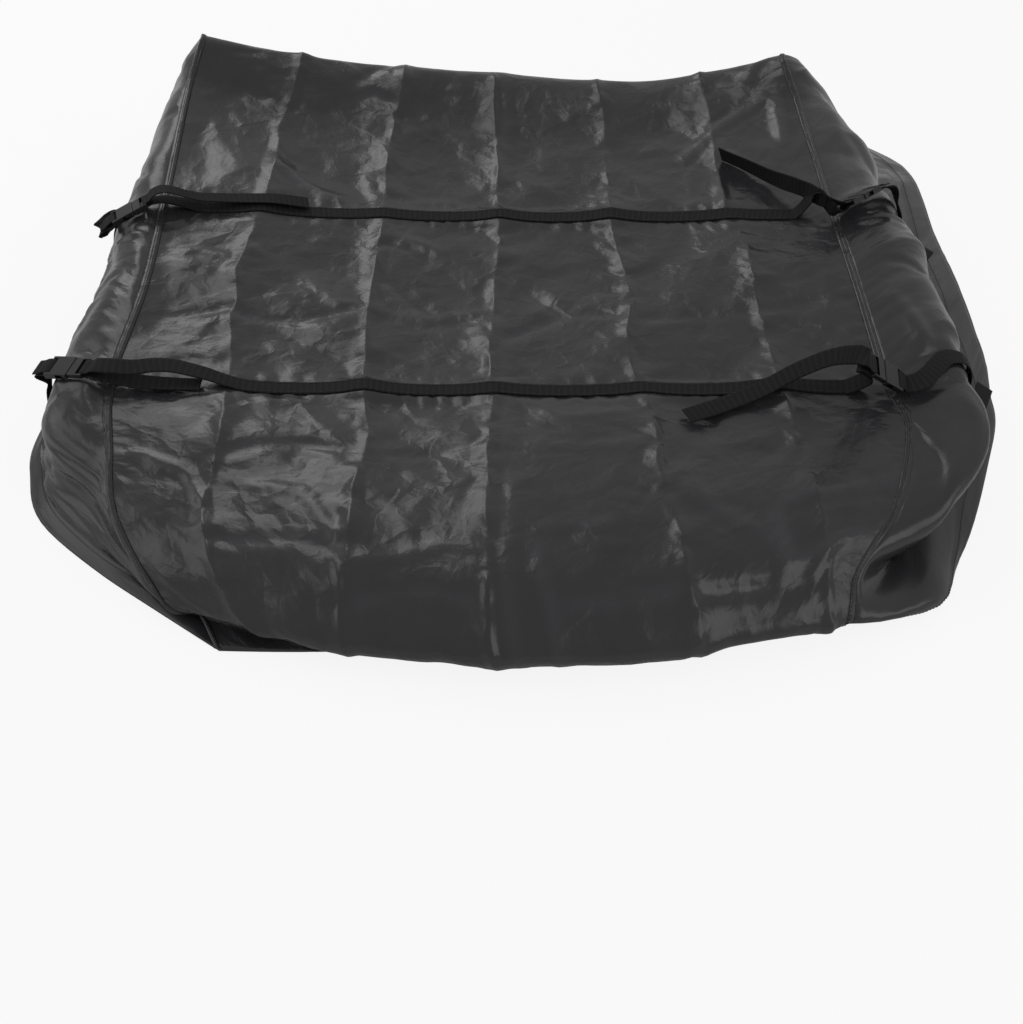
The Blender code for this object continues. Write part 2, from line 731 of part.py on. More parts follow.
def over_top(s, route):
    """Points above the centre panel: place across, distance in front of the strap line, height."""
    u = np.array([item[0] for item in route])
    at = s + np.array([item[1] for item in route])
    height = np.array([item[2] for item in route])
    points = centre_surface(u, at) + centre_normal(u, at) * height[:, None]
    return [Vector(point) for point in points]


def join(*runs):
    centre = []
    width = []
    for points, directions in runs:
        centre += list(points)
        width += list(directions)
    return centre, width


def reverse(run):
    return list(reversed(run[0])), list(reversed(run[1]))


def strap_end(corner):
    """One end of a strap, from the last sewn point out to the plug, round its bar and back as a tail."""
    sign = -1 if corner["side"] == "left" else 1
    near = PLUG_CLEARANCE + PLUG_BODY_LENGTH - BAR_LENGTH
    far = near + BAR_LENGTH
    below = [(0.016, -0.0065), (0.006, -WRAP)]
    above = [(0.006, WRAP), (0.014, 0.0062)]
    wrap = wrap_path(corner["frame"], sign, near, far, below, above)
    if corner["strap_above"]:
        wrap = reverse(wrap)
    bed = top_bed(corner["s"], np.array(corner["sewn_end"]))
    start = (bed[0][0], bed[0][1], bed[1][1])
    free = over_top(corner["s"], corner["free"])
    out = blend_path(start, free, (wrap[0][1], wrap[0][0], wrap[1][0]), 7)
    tail = over_top(corner["s"], corner["tail"])
    ahead = tail[-1] + (tail[-1] - tail[-2])
    flat = bed[1][1]
    leave = (wrap[0][-2], wrap[0][-1], wrap[1][-1])
    back = blend_path(leave, tail[:-1], (ahead, tail[-1], flat), 3 * len(tail))
    return join(out, wrap, back, ([tail[-1]], [flat]))


def build_strap(name, left, right, parts):
    low = left["sewn_end"][1]
    high = right["sewn_end"][1]
    cells = FOLDS_ACROSS * CELLS_PER_FOLD
    u = np.arange(round(low * cells), round(high * cells) + 1) / cells
    sewn = top_bed(left["s"], u)
    return build_ribbon(name, *join(reverse(strap_end(left)), sewn, strap_end(right)), parts)


def build_wall_strap(name, corner, parts):
    """From the hem up the side panel to the socket's bar, round it and sewn back on itself."""
    sign = -1 if corner["side"] == "left" else 1
    near = -SOCKET_LENGTH + BAR_LENGTH
    below = [(run, height) for run, height in corner["leaves"]] + [(0.006, -WRAP)]
    above = [(0.006, WRAP), (0.013, 0.0004), (0.022, -0.0012)]
    wrap = wrap_path(corner["frame"], sign, near, -SOCKET_LENGTH, below, above)
    steps = [w for w in WALL_STEPS[::-1] if w >= corner["wall_start"]]
    steps[0] = 1.0 - 0.8 * HEM_WIDTH / REAR_WALL
    wall = wall_bed(corner["side"], corner["s"], np.array(steps))
    start = (wall[0][-2], wall[0][-1], wall[1][-1])
    up = blend_path(start, [], (wrap[0][1], wrap[0][0], wrap[1][0]), 4)
    return build_ribbon(name, *join(wall, up, wrap), parts)


LAST = 1.0 - 2.0 / (FOLDS_ACROSS * CELLS_PER_FOLD)
CELL = 1.0 / (FOLDS_ACROSS * CELLS_PER_FOLD)

CORNERS = {
    "rear_left": {
        "side": "left",
        "s": REAR_STRAP,
        "lie": {"distance": 0.035, "ahead": 0.03, "lift": 0.0095, "roll": 0, "tilt": 0, "turn": 35},
        "sewn_end": (3 * CELL, 2 * CELL),
        "free": [(0.02, 0.0, 0.009)],
        "tail": [
            (0.05, -0.004, 0.016),
            (0.10, -0.010, 0.0095),
            (0.16, -0.014, 0.008),
            (0.215, -0.016, 0.008),
        ],
        "leaves": [(0.018, -0.0042)],
        "wall_start": 0.32,
        "strap_above": False,
    },
    "rear_right": {
        "side": "right",
        "s": REAR_STRAP,
        "lie": {"distance": 0.018, "ahead": 0.02, "lift": 0.019, "roll": 35, "tilt": 0, "turn": 0},
        "sewn_end": (LAST - CELL, LAST),
        "free": [(0.98, -0.004, 0.032)],
        "tail": [
            (0.965, -0.025, 0.030),
            (0.93, -0.06, 0.018),
            (0.895, -0.10, 0.010),
            (0.862, -0.13, 0.009),
        ],
        "leaves": [(0.018, -0.0042)],
        "wall_start": 0.30,
        "strap_above": False,
    },
    "front_left": {
        "side": "left",
        "s": FRONT_STRAP,
        "lie": {"distance": 0.040, "ahead": 0.0, "lift": 0.011, "roll": 0, "tilt": 0, "turn": 0},
        "sewn_end": (7 * CELL, 6 * CELL),
        "free": [(0.12, -0.006, 0.016), (0.07, -0.018, 0.024), (0.02, -0.008, 0.026)],
        "tail": [(0.03, 0.0, 0.009), (0.07, 0.004, 0.0075), (0.115, 0.008, 0.007)],
        "leaves": [(0.018, -0.0042)],
        "wall_start": 0.34,
        "strap_above": True,
    },
    "front_right": {
        "side": "right",
        "s": FRONT_STRAP,
        "lie": {"distance": -0.008, "ahead": 0.0, "lift": 0.045, "roll": -15, "tilt": 44, "turn": -30},
        "sewn_end": (LAST - CELL, LAST),
        "free": [(0.975, 0.0, 0.022)],
        "tail": [
            (0.93, 0.0, 0.055),
            (0.88, 0.006, 0.030),
            (0.83, 0.018, 0.014),
            (0.78, 0.032, 0.009),
            (0.70, 0.050, 0.008),
        ],
        "leaves": [(0.014, 0.0045)],
        "wall_start": 0.22,
        "strap_above": False,
    },
}


def stand_on_origin(collections):
    """The origin is the middle of the bag's outline on the floor."""
    hems = [(x, y) for share, x, y in LEFT_HEM + RIGHT_HEM]
    outline = np.vstack([ROWS[:, :, :2].reshape(-1, 2), hems])
    middle = (outline.min(axis=0) + outline.max(axis=0)) / 2
    origin = bpy.data.objects.new("bag_origin", None)
    bpy.context.scene.collection.objects.link(origin)
    origin.location = (-middle[0], -middle[1], 0.0)
    for collection in collections:
        for obj in collection.objects:
            if obj.parent is None:
                obj.parent = origin


def build():
    clear_scene()
    parts = new_collection("rooftop_cargo_bag")
    cutters = new_collection("cutters")
    build_centre_panel(parts)
    build_side_panel("left_side_panel", "left", parts)
    build_side_panel("right_side_panel", "right", parts)
    build_binding("left_seam_binding", "left", parts)
    build_binding("right_seam_binding", "right", parts)
    for name, corner in CORNERS.items():
        corner["frame"] = buckle_frame(corner["side"], corner["s"], **corner["lie"])
        build_socket(name + "_buckle_socket", corner["frame"], parts, cutters)
        build_plug(name + "_buckle_plug", corner["frame"], parts, cutters)
        build_wall_strap(name + "_wall_strap", corner, parts)
    build_strap("rear_strap", CORNERS["rear_left"], CORNERS["rear_right"], parts)
    build_strap("front_strap", CORNERS["front_left"], CORNERS["front_right"], parts)
    stand_on_origin([parts, cutters])


build()
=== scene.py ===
"""Looks of the rooftop cargo bag: coated cloth with packing folds, bound seams, webbing and buckles."""

import math

import bmesh
import bpy
import numpy as np
from mathutils import Matrix, Vector
from mathutils.geometry import delaunay_2d_cdt


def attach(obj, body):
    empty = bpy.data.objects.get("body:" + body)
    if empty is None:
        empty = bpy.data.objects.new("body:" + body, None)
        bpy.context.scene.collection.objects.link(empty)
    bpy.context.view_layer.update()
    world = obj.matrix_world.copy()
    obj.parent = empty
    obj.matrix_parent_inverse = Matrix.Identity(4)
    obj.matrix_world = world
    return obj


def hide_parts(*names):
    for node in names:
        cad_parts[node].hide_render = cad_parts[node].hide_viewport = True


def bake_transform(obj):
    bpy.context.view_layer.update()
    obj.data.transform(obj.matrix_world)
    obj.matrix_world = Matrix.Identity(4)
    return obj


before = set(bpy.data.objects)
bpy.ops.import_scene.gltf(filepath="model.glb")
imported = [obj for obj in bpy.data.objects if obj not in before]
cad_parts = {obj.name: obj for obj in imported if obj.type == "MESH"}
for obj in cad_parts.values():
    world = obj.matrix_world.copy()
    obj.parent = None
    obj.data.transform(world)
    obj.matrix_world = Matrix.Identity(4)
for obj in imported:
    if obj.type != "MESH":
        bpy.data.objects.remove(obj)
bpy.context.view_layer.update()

# The bag's middle on the floor; every shape below is worked out about the middle of its top.
ORIGIN = np.array([-0.0435, 0.03, 0.0])

# Cross sections of the centre panel from the rear hem to the front hem: left seam, middle, right seam.
SECTIONS = np.array([
    ((-0.635, 0.695, 0.0007), (0, 0.675, 0.0007), (0.675, 0.575, 0.0007)),
    ((-0.61, 0.63, 0.045), (0, 0.62, 0.04), (0.625, 0.52, 0.045)),
    ((-0.56, 0.545, 0.135), (0, 0.54, 0.11), (0.545, 0.475, 0.135)),
    ((-0.5, 0.455, 0.25), (0, 0.475, 0.18), (0.475, 0.415, 0.235)),
    ((-0.51, 0.355, 0.21), (0, 0.325, 0.128), (0.485, 0.295, 0.2)),
    ((-0.495, 0.03, 0.165), (0, 0.105, 0.103), (0.492, 0.005, 0.165)),
    ((-0.487, -0.165, 0.145), (0, -0.1, 0.087), (0.495, -0.16, 0.15)),
    ((-0.495, -0.355, 0.118), (0, -0.325, 0.085), (0.503, -0.36, 0.118)),
    ((-0.477, -0.455, 0.1), (0, -0.48, 0.095), (0.517, -0.43, 0.1)),
    ((-0.455, -0.55, 0.07), (0, -0.605, 0.1), (0.475, -0.555, 0.085)),
    ((-0.405, -0.625, 0.035), (0, -0.705, 0.08), (0.415, -0.645, 0.06)),
    ((-0.37, -0.66, 0.018), (0, -0.755, 0.036), (0.4, -0.69, 0.03)),
    ((-0.345, -0.655, 0.009), (0, -0.735, 0.01), (0.39, -0.67, 0.012)),
    ((-0.314, -0.706, 0.0007), (0, -0.695, 0.0007), (0.37, -0.635, 0.0007)),
], float)
TOP_WIDTH = 0.99
HEM_LIFT = 0.0007
REAR_RIGHT_SAG = 0.018
REAR_SAG_REACH = 0.12

# Points of each side panel's hem: share of its length, X, Y.
LEFT_HEM = [
    (0.1, -0.645, 0.555), (0.39, -0.635, 0.12), (0.7, -0.625, -0.12), (0.86, -0.625, -0.265),
    (0.915, -0.615, -0.39), (0.95, -0.565, -0.5), (0.97, -0.485, -0.575), (0.99, -0.395, -0.645),
]
RIGHT_HEM = [
    (0.14, 0.732, 0.485), (0.39, 0.731, 0.22), (0.7, 0.723, -0.04), (0.86, 0.702, -0.205),
    (0.92, 0.67, -0.335), (0.96, 0.57, -0.555), (0.98, 0.51, -0.635), (0.99, 0.435, -0.645),
]
LEFT, RIGHT = 0, 2

# Below its seam each wall bulges out by its tuck, which fades out at both ends over a share of the length.
TUCK = {LEFT: 0.02, RIGHT: 0.055}
TUCK_RISE = 0.25
TUCK_REAR_FADE = 0.55
TUCK_FRONT_FADE = 0.09

# The front left corner is drawn in: how much, and where, over what reach and fade as shares of the length.
DRAWN_IN = 0.75
DRAWN_IN_PLACE, DRAWN_IN_REACH, DRAWN_IN_FADE = 0.965, 0.03, 0.01

# The front right corner folds under: from where, its fades, how far down and how deep as shares of the wall.
UNDER_START, UNDER_FADE_IN, UNDER_FADE_OUT = 0.88, 0.05, 0.02
UNDER_DOWN, UNDER_DEPTH = 0.66, 0.17
# Then how far the cloth runs under, in metres, and how much of its height it loses.
UNDER_RUN = 0.042
UNDER_SINK = 0.6

# Cloth, tape and webbing, in metres.
CLOTH = 0.0009
HEM_WIDTH = 0.025
TAPE_WIDTH = 0.012
# Seam tape: its gap over the cloth, how far its crest rises above that, and its thickness.
TAPE_LIE = {LEFT: (0.0007, 0.0012, 0.0009), RIGHT: (0.0003, 0.0, 0.0005)}
WEBBING_WIDTH = 0.025
WEBBING = 0.0015
BED = WEBBING_WIDTH / 2 + 0.001
STRAP_STITCH_PLACE = 0.0098

# Heights of the cloth's folds, their reaches, and how long their waves are, in metres.
PACKING_FOLD = 0.0075
PACKING_FOLD_UNDER_STRAP = 0.0105
PACKING_FOLD_SLOPE = 0.030
PACKING_FOLD_TIP = 0.011
CREASE_REACH = 0.015
CREASE_FADE = 0.018
WRINKLE_REACH = 0.011
WRINKLE_FADE = 0.02
PUCKER = 0.0016
PUCKER_WAVE = 0.0042
GATHER = {"centre": 0.0007, "wall": 0.0004}
GATHER_WAVE = 0.0052
TURNED_EDGE = 0.0006
HEM_GROOVE = 0.0007
HEM_RIPPLE = 0.0008
HEM_RIPPLE_WAVE = 0.0075

# Each buckle stands at the mouth of its socket: place, way out of the plug, and face.
BUCKLES = {
    "rear_left": ((-0.53399, 0.00865, 0.17197), (0.87618, 0.29567, 0.38063), (-0.37269, -0.08517, 0.92404)),
    "rear_right": ((0.52295, 0.00933, 0.1885), (-0.78532, -0.61349, -0.08309), (-0.38838, 0.38369, 0.83782)),
    "front_left": ((-0.54347, -0.33892, 0.13368), (0.94178, -0.28818, 0.17321), (-0.2147, -0.11901, 0.9694)),
    "front_right": ((0.4832, -0.38097, 0.15785), (-0.77169, -0.22647, 0.59431), (0.63496, -0.32784, 0.69954)),
}
BAR = 0.004
PLUG_END = 0.0223
SOCKET_END = -0.034
ROUND_BAR = 0.0029
WRAP_REACH = 0.0014
WRAP_BEND = 0.00035

RANDOM = np.random.default_rng(7)


# Nodes of a material.

def linear(colour):
    """sRGB hex to the linear colour that a shader takes."""
    parts = [int(colour[i:i + 2], 16) / 255 for i in (1, 3, 5)]
    return (*[c / 12.92 if c <= 0.04045 else ((c + 0.055) / 1.055) ** 2.4 for c in parts], 1.0)


def add_node(tree, kind, links=None, **settings):
    """One node with its settings and its input values or links."""
    node = tree.nodes.new("ShaderNode" + kind)
    for key, value in settings.items():
        setattr(node, key, value)
    for socket, value in (links or {}).items():
        if isinstance(value, bpy.types.NodeSocket):
            tree.links.new(value, node.inputs[socket])
        else:
            node.inputs[socket].default_value = value
    return node


def new_material(name):
    material = bpy.data.materials.new(name)
    material.use_nodes = True
    tree = material.node_tree
    return material, tree, tree.nodes["Principled BSDF"]


def shade(tree, factor, dark, light):
    """Colour between two hex values by a factor from 0 to 1."""
    ramp = add_node(tree, "ValToRGB", {"Fac": factor})
    ramp.color_ramp.elements[0].color = linear(dark)
    ramp.color_ramp.elements[1].color = linear(light)
    return ramp.outputs["Color"]


def coated_polyester():
    """Woven polyester with a smooth coating: dark grey, hard-edged highlights where a facet faces a lamp."""
    material, tree, shader = new_material("coated polyester")
    cut = add_node(tree, "UVMap", uv_map="cut").outputs["UV"]
    crease = add_node(tree, "Attribute", attribute_name="crease").outputs["Fac"]
    # Cloudy change of tone over 60 mm, as the coating has, and a paler line where it was creased.
    cloud = add_node(tree, "TexNoise", {"Vector": cut, "Scale": 16.0, "Detail": 4.0, "Roughness": 0.6})
    wear = add_node(tree, "TexNoise", {"Vector": cut, "Scale": 240.0, "Detail": 3.0, "Roughness": 0.7})
    worn = add_node(tree, "Math", {0: crease, 1: wear.outputs["Fac"]}, operation="MULTIPLY")
    tone = add_node(
        tree, "Math", {0: cloud.outputs["Fac"], 1: 0.55, 2: worn.outputs[0]}, operation="MULTIPLY_ADD",
    )
    tree.links.new(shade(tree, tone.outputs[0], "#262628", "#38383b"), shader.inputs["Base Color"])
    rough = add_node(tree, "MapRange", {0: cloud.outputs["Fac"], 1: 0.3, 2: 0.7, 3: 0.21, 4: 0.31})
    tree.links.new(rough.outputs[0], shader.inputs["Roughness"])
    # Threads are 0.4 mm apart, drawn at 1.6 mm so that the weave shows.
    weave = add_node(tree, "TexWave", {"Vector": cut, "Scale": 196.0}, bands_direction="X")
    weft = add_node(tree, "TexWave", {"Vector": cut, "Scale": 196.0}, bands_direction="Y")
    threads = add_node(tree, "Math", {0: weave.outputs["Fac"], 1: weft.outputs["Fac"]}, operation="MULTIPLY")
    # Flat facets about 65 mm and 24 mm wide that meet in sharp bent creases, as the cloth was crushed.
    bent = add_node(tree, "TexNoise", {"Vector": cut, "Scale": 22.0, "Detail": 2.0})
    moved = add_node(
        tree, "VectorMath", {0: bent.outputs["Color"], 1: (0.03, 0.03, 0.0), 2: cut},
        operation="MULTIPLY_ADD",
    )
    facets = []
    for scale, turn in ((15.0, 0.5), (42.0, -0.4)):
        turned = add_node(tree, "Mapping", {"Vector": moved.outputs[0], "Rotation": (0.0, 0.0, turn)})
        facets.append(add_node(
            tree, "TexVoronoi", {"Vector": turned.outputs[0], "Scale": scale}, distance="CHEBYCHEV",
        ))
    crushed = add_node(
        tree, "Math", {0: facets[0].outputs["Distance"], 1: 4.0, 2: facets[1].outputs["Distance"]},
        operation="MULTIPLY_ADD",
    )
    # Faint crinkles about 10 mm apart.
    crinkle = add_node(tree, "TexNoise", {"Vector": cut, "Scale": 95.0, "Detail": 2.0})
    fine = add_node(tree, "Bump", {"Height": threads.outputs[0], "Strength": 0.06, "Distance": 0.0003})
    faint = add_node(
        tree, "Bump",
        {"Height": crinkle.outputs["Fac"], "Strength": 0.5, "Distance": 0.0005, "Normal": fine.outputs[0]},
    )
    soft = add_node(
        tree, "Bump",
        {"Height": crushed.outputs[0], "Strength": 1.0, "Distance": 0.0009, "Normal": faint.outputs[0]},
    )
    tree.links.new(soft.outputs[0], shader.inputs["Normal"])
    return material


def woven_webbing():
    """Woven polypropylene webbing: near black and dull, ribbed along, with the bars of its weave across."""
    material, tree, shader = new_material("woven polypropylene webbing")
    cut = add_node(tree, "UVMap", uv_map="cut").outputs["UV"]
    fuzz = add_node(tree, "TexNoise", {"Vector": cut, "Scale": 900.0, "Detail": 3.0, "Roughness": 0.7})
    # Ribs 2.5 mm apart; bars 0.8 mm apart in the real weave, drawn 8 mm apart so that they show.
    ribs = add_node(tree, "TexWave", {"Vector": cut, "Scale": 125.0}, bands_direction="X")
    bars = add_node(tree, "TexWave", {"Vector": cut, "Scale": 38.0, "Distortion": 1.0}, bands_direction="Y")
    sharp = add_node(tree, "Math", {0: bars.outputs["Fac"], 1: 6.0}, operation="POWER")
    woven = add_node(
        tree, "Math", {0: ribs.outputs["Fac"], 1: 0.25, 2: sharp.outputs[0]}, operation="MULTIPLY_ADD",
    )
    tone = add_node(
        tree, "Math", {0: fuzz.outputs["Fac"], 1: 0.3, 2: woven.outputs[0]}, operation="MULTIPLY_ADD",
    )
    tree.links.new(shade(tree, tone.outputs[0], "#0a0a0b", "#1c1c1e"), shader.inputs["Base Color"])
    weave = add_node(tree, "Bump", {"Height": woven.outputs[0], "Strength": 0.5, "Distance": 0.0003})
    tree.links.new(weave.outputs[0], shader.inputs["Normal"])
    shader.inputs["Roughness"].default_value = 0.8
    shader.inputs["Specular IOR Level"].default_value = 0.3
    return material


def moulded_acetal():
    """Injection moulded acetal with a fine spark-eroded grain: near black, a soft even gloss."""
    material, tree, shader = new_material("moulded acetal")
    place = add_node(tree, "TexCoord").outputs["Object"]
    grain = add_node(tree, "TexNoise", {"Vector": place, "Scale": 1500.0, "Detail": 2.0})
    scuff = add_node(tree, "TexNoise", {"Vector": place, "Scale": 160.0, "Detail": 4.0, "Roughness": 0.65})
    tree.links.new(shade(tree, scuff.outputs["Fac"], "#0a0a0b", "#161618"), shader.inputs["Base Color"])
    rough = add_node(tree, "MapRange", {0: scuff.outputs["Fac"], 1: 0.3, 2: 0.7, 3: 0.34, 4: 0.5})
    tree.links.new(rough.outputs[0], shader.inputs["Roughness"])
    bump = add_node(tree, "Bump", {"Height": grain.outputs["Fac"], "Strength": 0.25, "Distance": 0.0001})
    tree.links.new(bump.outputs[0], shader.inputs["Normal"])
    return material


def polyester_thread():
    """Bonded polyester sewing thread: black with a slight shine and a twist along it."""
    material, tree, shader = new_material("polyester thread")
    place = add_node(tree, "TexCoord").outputs["Object"]
    twist = add_node(tree, "TexNoise", {"Vector": place, "Scale": 2200.0, "Detail": 1.0})
    tree.links.new(shade(tree, twist.outputs["Fac"], "#0e0e0f", "#2c2c2e"), shader.inputs["Base Color"])
    shader.inputs["Roughness"].default_value = 0.5
    return material


CLOTH_FINISH = coated_polyester()
WEBBING_FINISH = woven_webbing()
BUCKLE_FINISH = moulded_acetal()
THREAD_FINISH = polyester_thread()


# The cloth's large forms.

def spline(knots, values, t):
    """A smooth curve through values at knots, read at each t."""
    knots = np.asarray(knots, float)
    values = np.asarray(values, float)
    t = np.clip(np.atleast_1d(np.asarray(t, float)), knots[0], knots[-1])
    slopes = np.gradient(values, knots, axis=0)
    i = np.clip(np.searchsorted(knots, t, side="right") - 1, 0, len(knots) - 2)
    span = knots[i + 1] - knots[i]
    f = ((t - knots[i]) / span)[:, None]
    span = span[:, None]
    ease = f * f * (3 - 2 * f)
    start = values[i] + (values[i + 1] - values[i]) * ease
    return start + slopes[i] * span * f * (1 - f) ** 2 - slopes[i + 1] * span * f * f * (1 - f)


def distances(points):
    """How far along a line of points each of them lies."""
    return np.concatenate([[0.0], np.cumsum(np.linalg.norm(np.diff(points, axis=0), axis=1))])


def read_along(reach, values, at):
    """Values at each distance in reach, read at other distances."""
    return np.stack([np.interp(at, reach, values[:, k]) for k in range(3)], axis=1)


def near(distance, reach):
    """1 on a line, about a third at this reach, and towards 0 further out."""
    return np.exp(-(distance / reach) ** 2)


KNOTS = distances(SECTIONS[:, 1])
REAR_HEM, REAR_EDGE, REAR_STRAP = KNOTS[[0, 3, 5]]
FRONT_STRAP, FRONT_EDGE, FRONT_LIP, FRONT_HEM = KNOTS[[7, 8, 11, 13]]
TOP_LENGTH = FRONT_EDGE - REAR_EDGE
REAR_WALL = REAR_EDGE - REAR_HEM


def seam_line(side, s):
    return spline(KNOTS, SECTIONS[:, side], s)


def centre_form(u, s):
    """The centre panel without its folds: u from the left seam to the right, s from rear to front."""
    left = seam_line(LEFT, s)
    middle = spline(KNOTS, SECTIONS[:, 1], s)
    right = seam_line(RIGHT, s)
    middle[:, 0] = (left[:, 0] + right[:, 0]) / 2
    u = np.asarray(u, float)[:, None]
    points = left * (1 - u) * (1 - 2 * u) + middle * 4 * u * (1 - u) + right * u * (2 * u - 1)
    right_half = np.clip(2 * u[:, 0] - 1, 0, 1)
    points[:, 2] -= REAR_RIGHT_SAG * np.sin(np.pi * right_half ** 1.2) * near(s - REAR_EDGE, REAR_SAG_REACH)
    return points


def hem_line(side, t):
    chosen = LEFT_HEM if side == LEFT else RIGHT_HEM
    knots = [0.0] + [share for share, x, y in chosen] + [1.0]
    points = [SECTIONS[0, side]] + [(x, y, HEM_LIFT) for share, x, y in chosen] + [SECTIONS[-1, side]]
    return spline(knots, points, t)


def side_form(side, t, w):
    """A side panel without its wrinkles: t from rear to front, w from the seam down to the hem."""
    top = seam_line(side, REAR_EDGE + t * TOP_LENGTH)
    hem = hem_line(side, t)
    rear = seam_line(side, REAR_EDGE - w * REAR_WALL)
    front = seam_line(side, FRONT_EDGE + w * (FRONT_HEM - FRONT_EDGE))
    rear_top, front_top = seam_line(side, [REAR_EDGE, FRONT_EDGE])
    rear_hem, front_hem = seam_line(side, [REAR_HEM, FRONT_HEM])
    t, w = t[:, None], w[:, None]
    corners = (
        (1 - t) * (1 - w) * rear_top + t * (1 - w) * front_top + (1 - t) * w * rear_hem + t * w * front_hem
    )
    drawn = 0.0
    if side == LEFT:
        drawn = DRAWN_IN * near(t - DRAWN_IN_PLACE, DRAWN_IN_REACH) * np.clip((1 - t) / DRAWN_IN_FADE, 0, 1)
    seam_bow = front - (1 - w) * front_top - w * front_hem
    points = (1 - w) * top + w * hem + (1 - t) * rear + t * front - corners - drawn * seam_bow
    outward = hem[:, :2] - top[:, :2]
    outward /= np.linalg.norm(outward, axis=1)[:, None]
    body = np.clip(t[:, 0] / TUCK_REAR_FADE, 0, 1) * np.clip((1 - t[:, 0]) / TUCK_FRONT_FADE, 0, 1)
    turn = np.sin(2 * np.pi * w[:, 0]) * np.sin(np.pi / 2 * body)
    points[:, :2] += outward * (TUCK[side] * turn)[:, None]
    points[:, 2] = HEM_LIFT + (points[:, 2] - HEM_LIFT) * (1 + TUCK_RISE * turn)
    if side == RIGHT:
        # Below the fold of the front right corner the cloth runs back under it.
        start = np.clip((t[:, 0] - UNDER_START) / UNDER_FADE_IN, 0, 1)
        under = start * np.clip((1 - t[:, 0]) / UNDER_FADE_OUT, 0, 1)
        under = under * near(w[:, 0] - UNDER_DOWN, UNDER_DEPTH)
        points += under[:, None] * [-UNDER_RUN, UNDER_RUN, 0.0]
        points[:, 2] = HEM_LIFT + (points[:, 2] - HEM_LIFT) * (1 - UNDER_SINK * under)
    return points


# Folds and wrinkles, as heights over a grid of lines a (across) by b (along), in metres.

def folded_flat(x, y, knots, heights):
    """Cloth creased between knots: straight facets that meet in sharp folds."""
    made = delaunay_2d_cdt([Vector(k) for k in knots], [], [], 0, 1e-6)
    points, triangles = np.array([tuple(p) for p in made[0]]), made[2]
    heights = np.array([heights[source[0]] if source else 0.0 for source in made[3]])
    lifted = np.zeros(x.shape)
    least, most, line = x.min(axis=1), x.max(axis=1), y[0]
    for corners in triangles:
        p, h = points[list(corners)], heights[list(corners)]
        i = slice(np.searchsorted(most, p[:, 0].min() - 1e-9), np.searchsorted(least, p[:, 0].max() + 1e-9))
        j = slice(*np.searchsorted(line, [p[:, 1].min() - 1e-9, p[:, 1].max() + 1e-9]))
        edges = np.array([p[1] - p[0], p[2] - p[0]]).T
        if x[i, j].size == 0 or abs(np.linalg.det(edges)) < 1e-12:
            continue
        f = np.einsum("ij,jkl->ikl", np.linalg.inv(edges), np.stack([x[i, j] - p[0, 0], y[i, j] - p[0, 1]]))
        inside = (f[0] > -1e-6) & (f[1] > -1e-6) & (f.sum(axis=0) < 1 + 1e-6)
        facet = h[0] + f[0] * (h[1] - h[0]) + f[1] * (h[2] - h[0])
        lifted[i, j] = np.where(inside, facet, lifted[i, j])
    return lifted


def crumple(x, y, spacing, height):
    """Facets between knots scattered about this far apart."""
    reach = [np.arange(line.min() - spacing, line.max() + 2 * spacing, spacing) for line in (x, y)]
    knots = np.stack(np.meshgrid(*reach, indexing="ij"), axis=2).reshape(-1, 2)
    knots += RANDOM.uniform(-0.42, 0.42, knots.shape) * spacing
    return folded_flat(x, y, knots, RANDOM.uniform(-1, 1, len(knots)) * height)


def grid_normals(points):
    """Which way a grid of points faces at each of them."""
    normal = np.cross(np.gradient(points, axis=1), np.gradient(points, axis=0))
    return normal / np.linalg.norm(normal, axis=2)[:, :, None]


def along_normals(points, height):
    """A grid of points moved along its own normals."""
    normal = grid_normals(points)
    return points + normal * height[:, :, None], normal


class Cloth:
    """A panel as a grid of points, which tape, webbing and thread are laid on."""

    def __init__(self, a, b, points):
        self.a, self.b, self.points = np.broadcast_to(a, points.shape[:2]), b, points
        self.normal = grid_normals(points)
        if self.normal[..., 2].mean() < 0:
            self.normal = -self.normal

    def read(self, grid, a, b):
        j = np.clip(np.searchsorted(self.b, b) - 1, 0, len(self.b) - 2)
        g = np.clip((b - self.b[j]) / (self.b[j + 1] - self.b[j]), 0, 1)[:, None]
        columns = self.a[:, j].T * (1 - g) + self.a[:, j + 1].T * g
        i = np.clip((columns < a[:, None]).sum(axis=1) - 1, 0, columns.shape[1] - 2)
        start, stop = columns[np.arange(len(a)), i], columns[np.arange(len(a)), i + 1]
        f = np.clip((a - start) / (stop - start), 0, 1)[:, None]
        near_side = grid[i, j] * (1 - f) + grid[i + 1, j] * f
        return near_side * (1 - g) + (grid[i, j + 1] * (1 - f) + grid[i + 1, j + 1] * f) * g

    def at(self, a, b, height=0.0):
        a, b = np.broadcast_arrays(np.asarray(a, float), np.asarray(b, float))
        normal = self.read(self.normal, a, b)
        normal /= np.linalg.norm(normal, axis=1)[:, None]
        return self.read(self.points, a, b) + normal * np.reshape(height, (-1, 1)), normal


# Meshes.

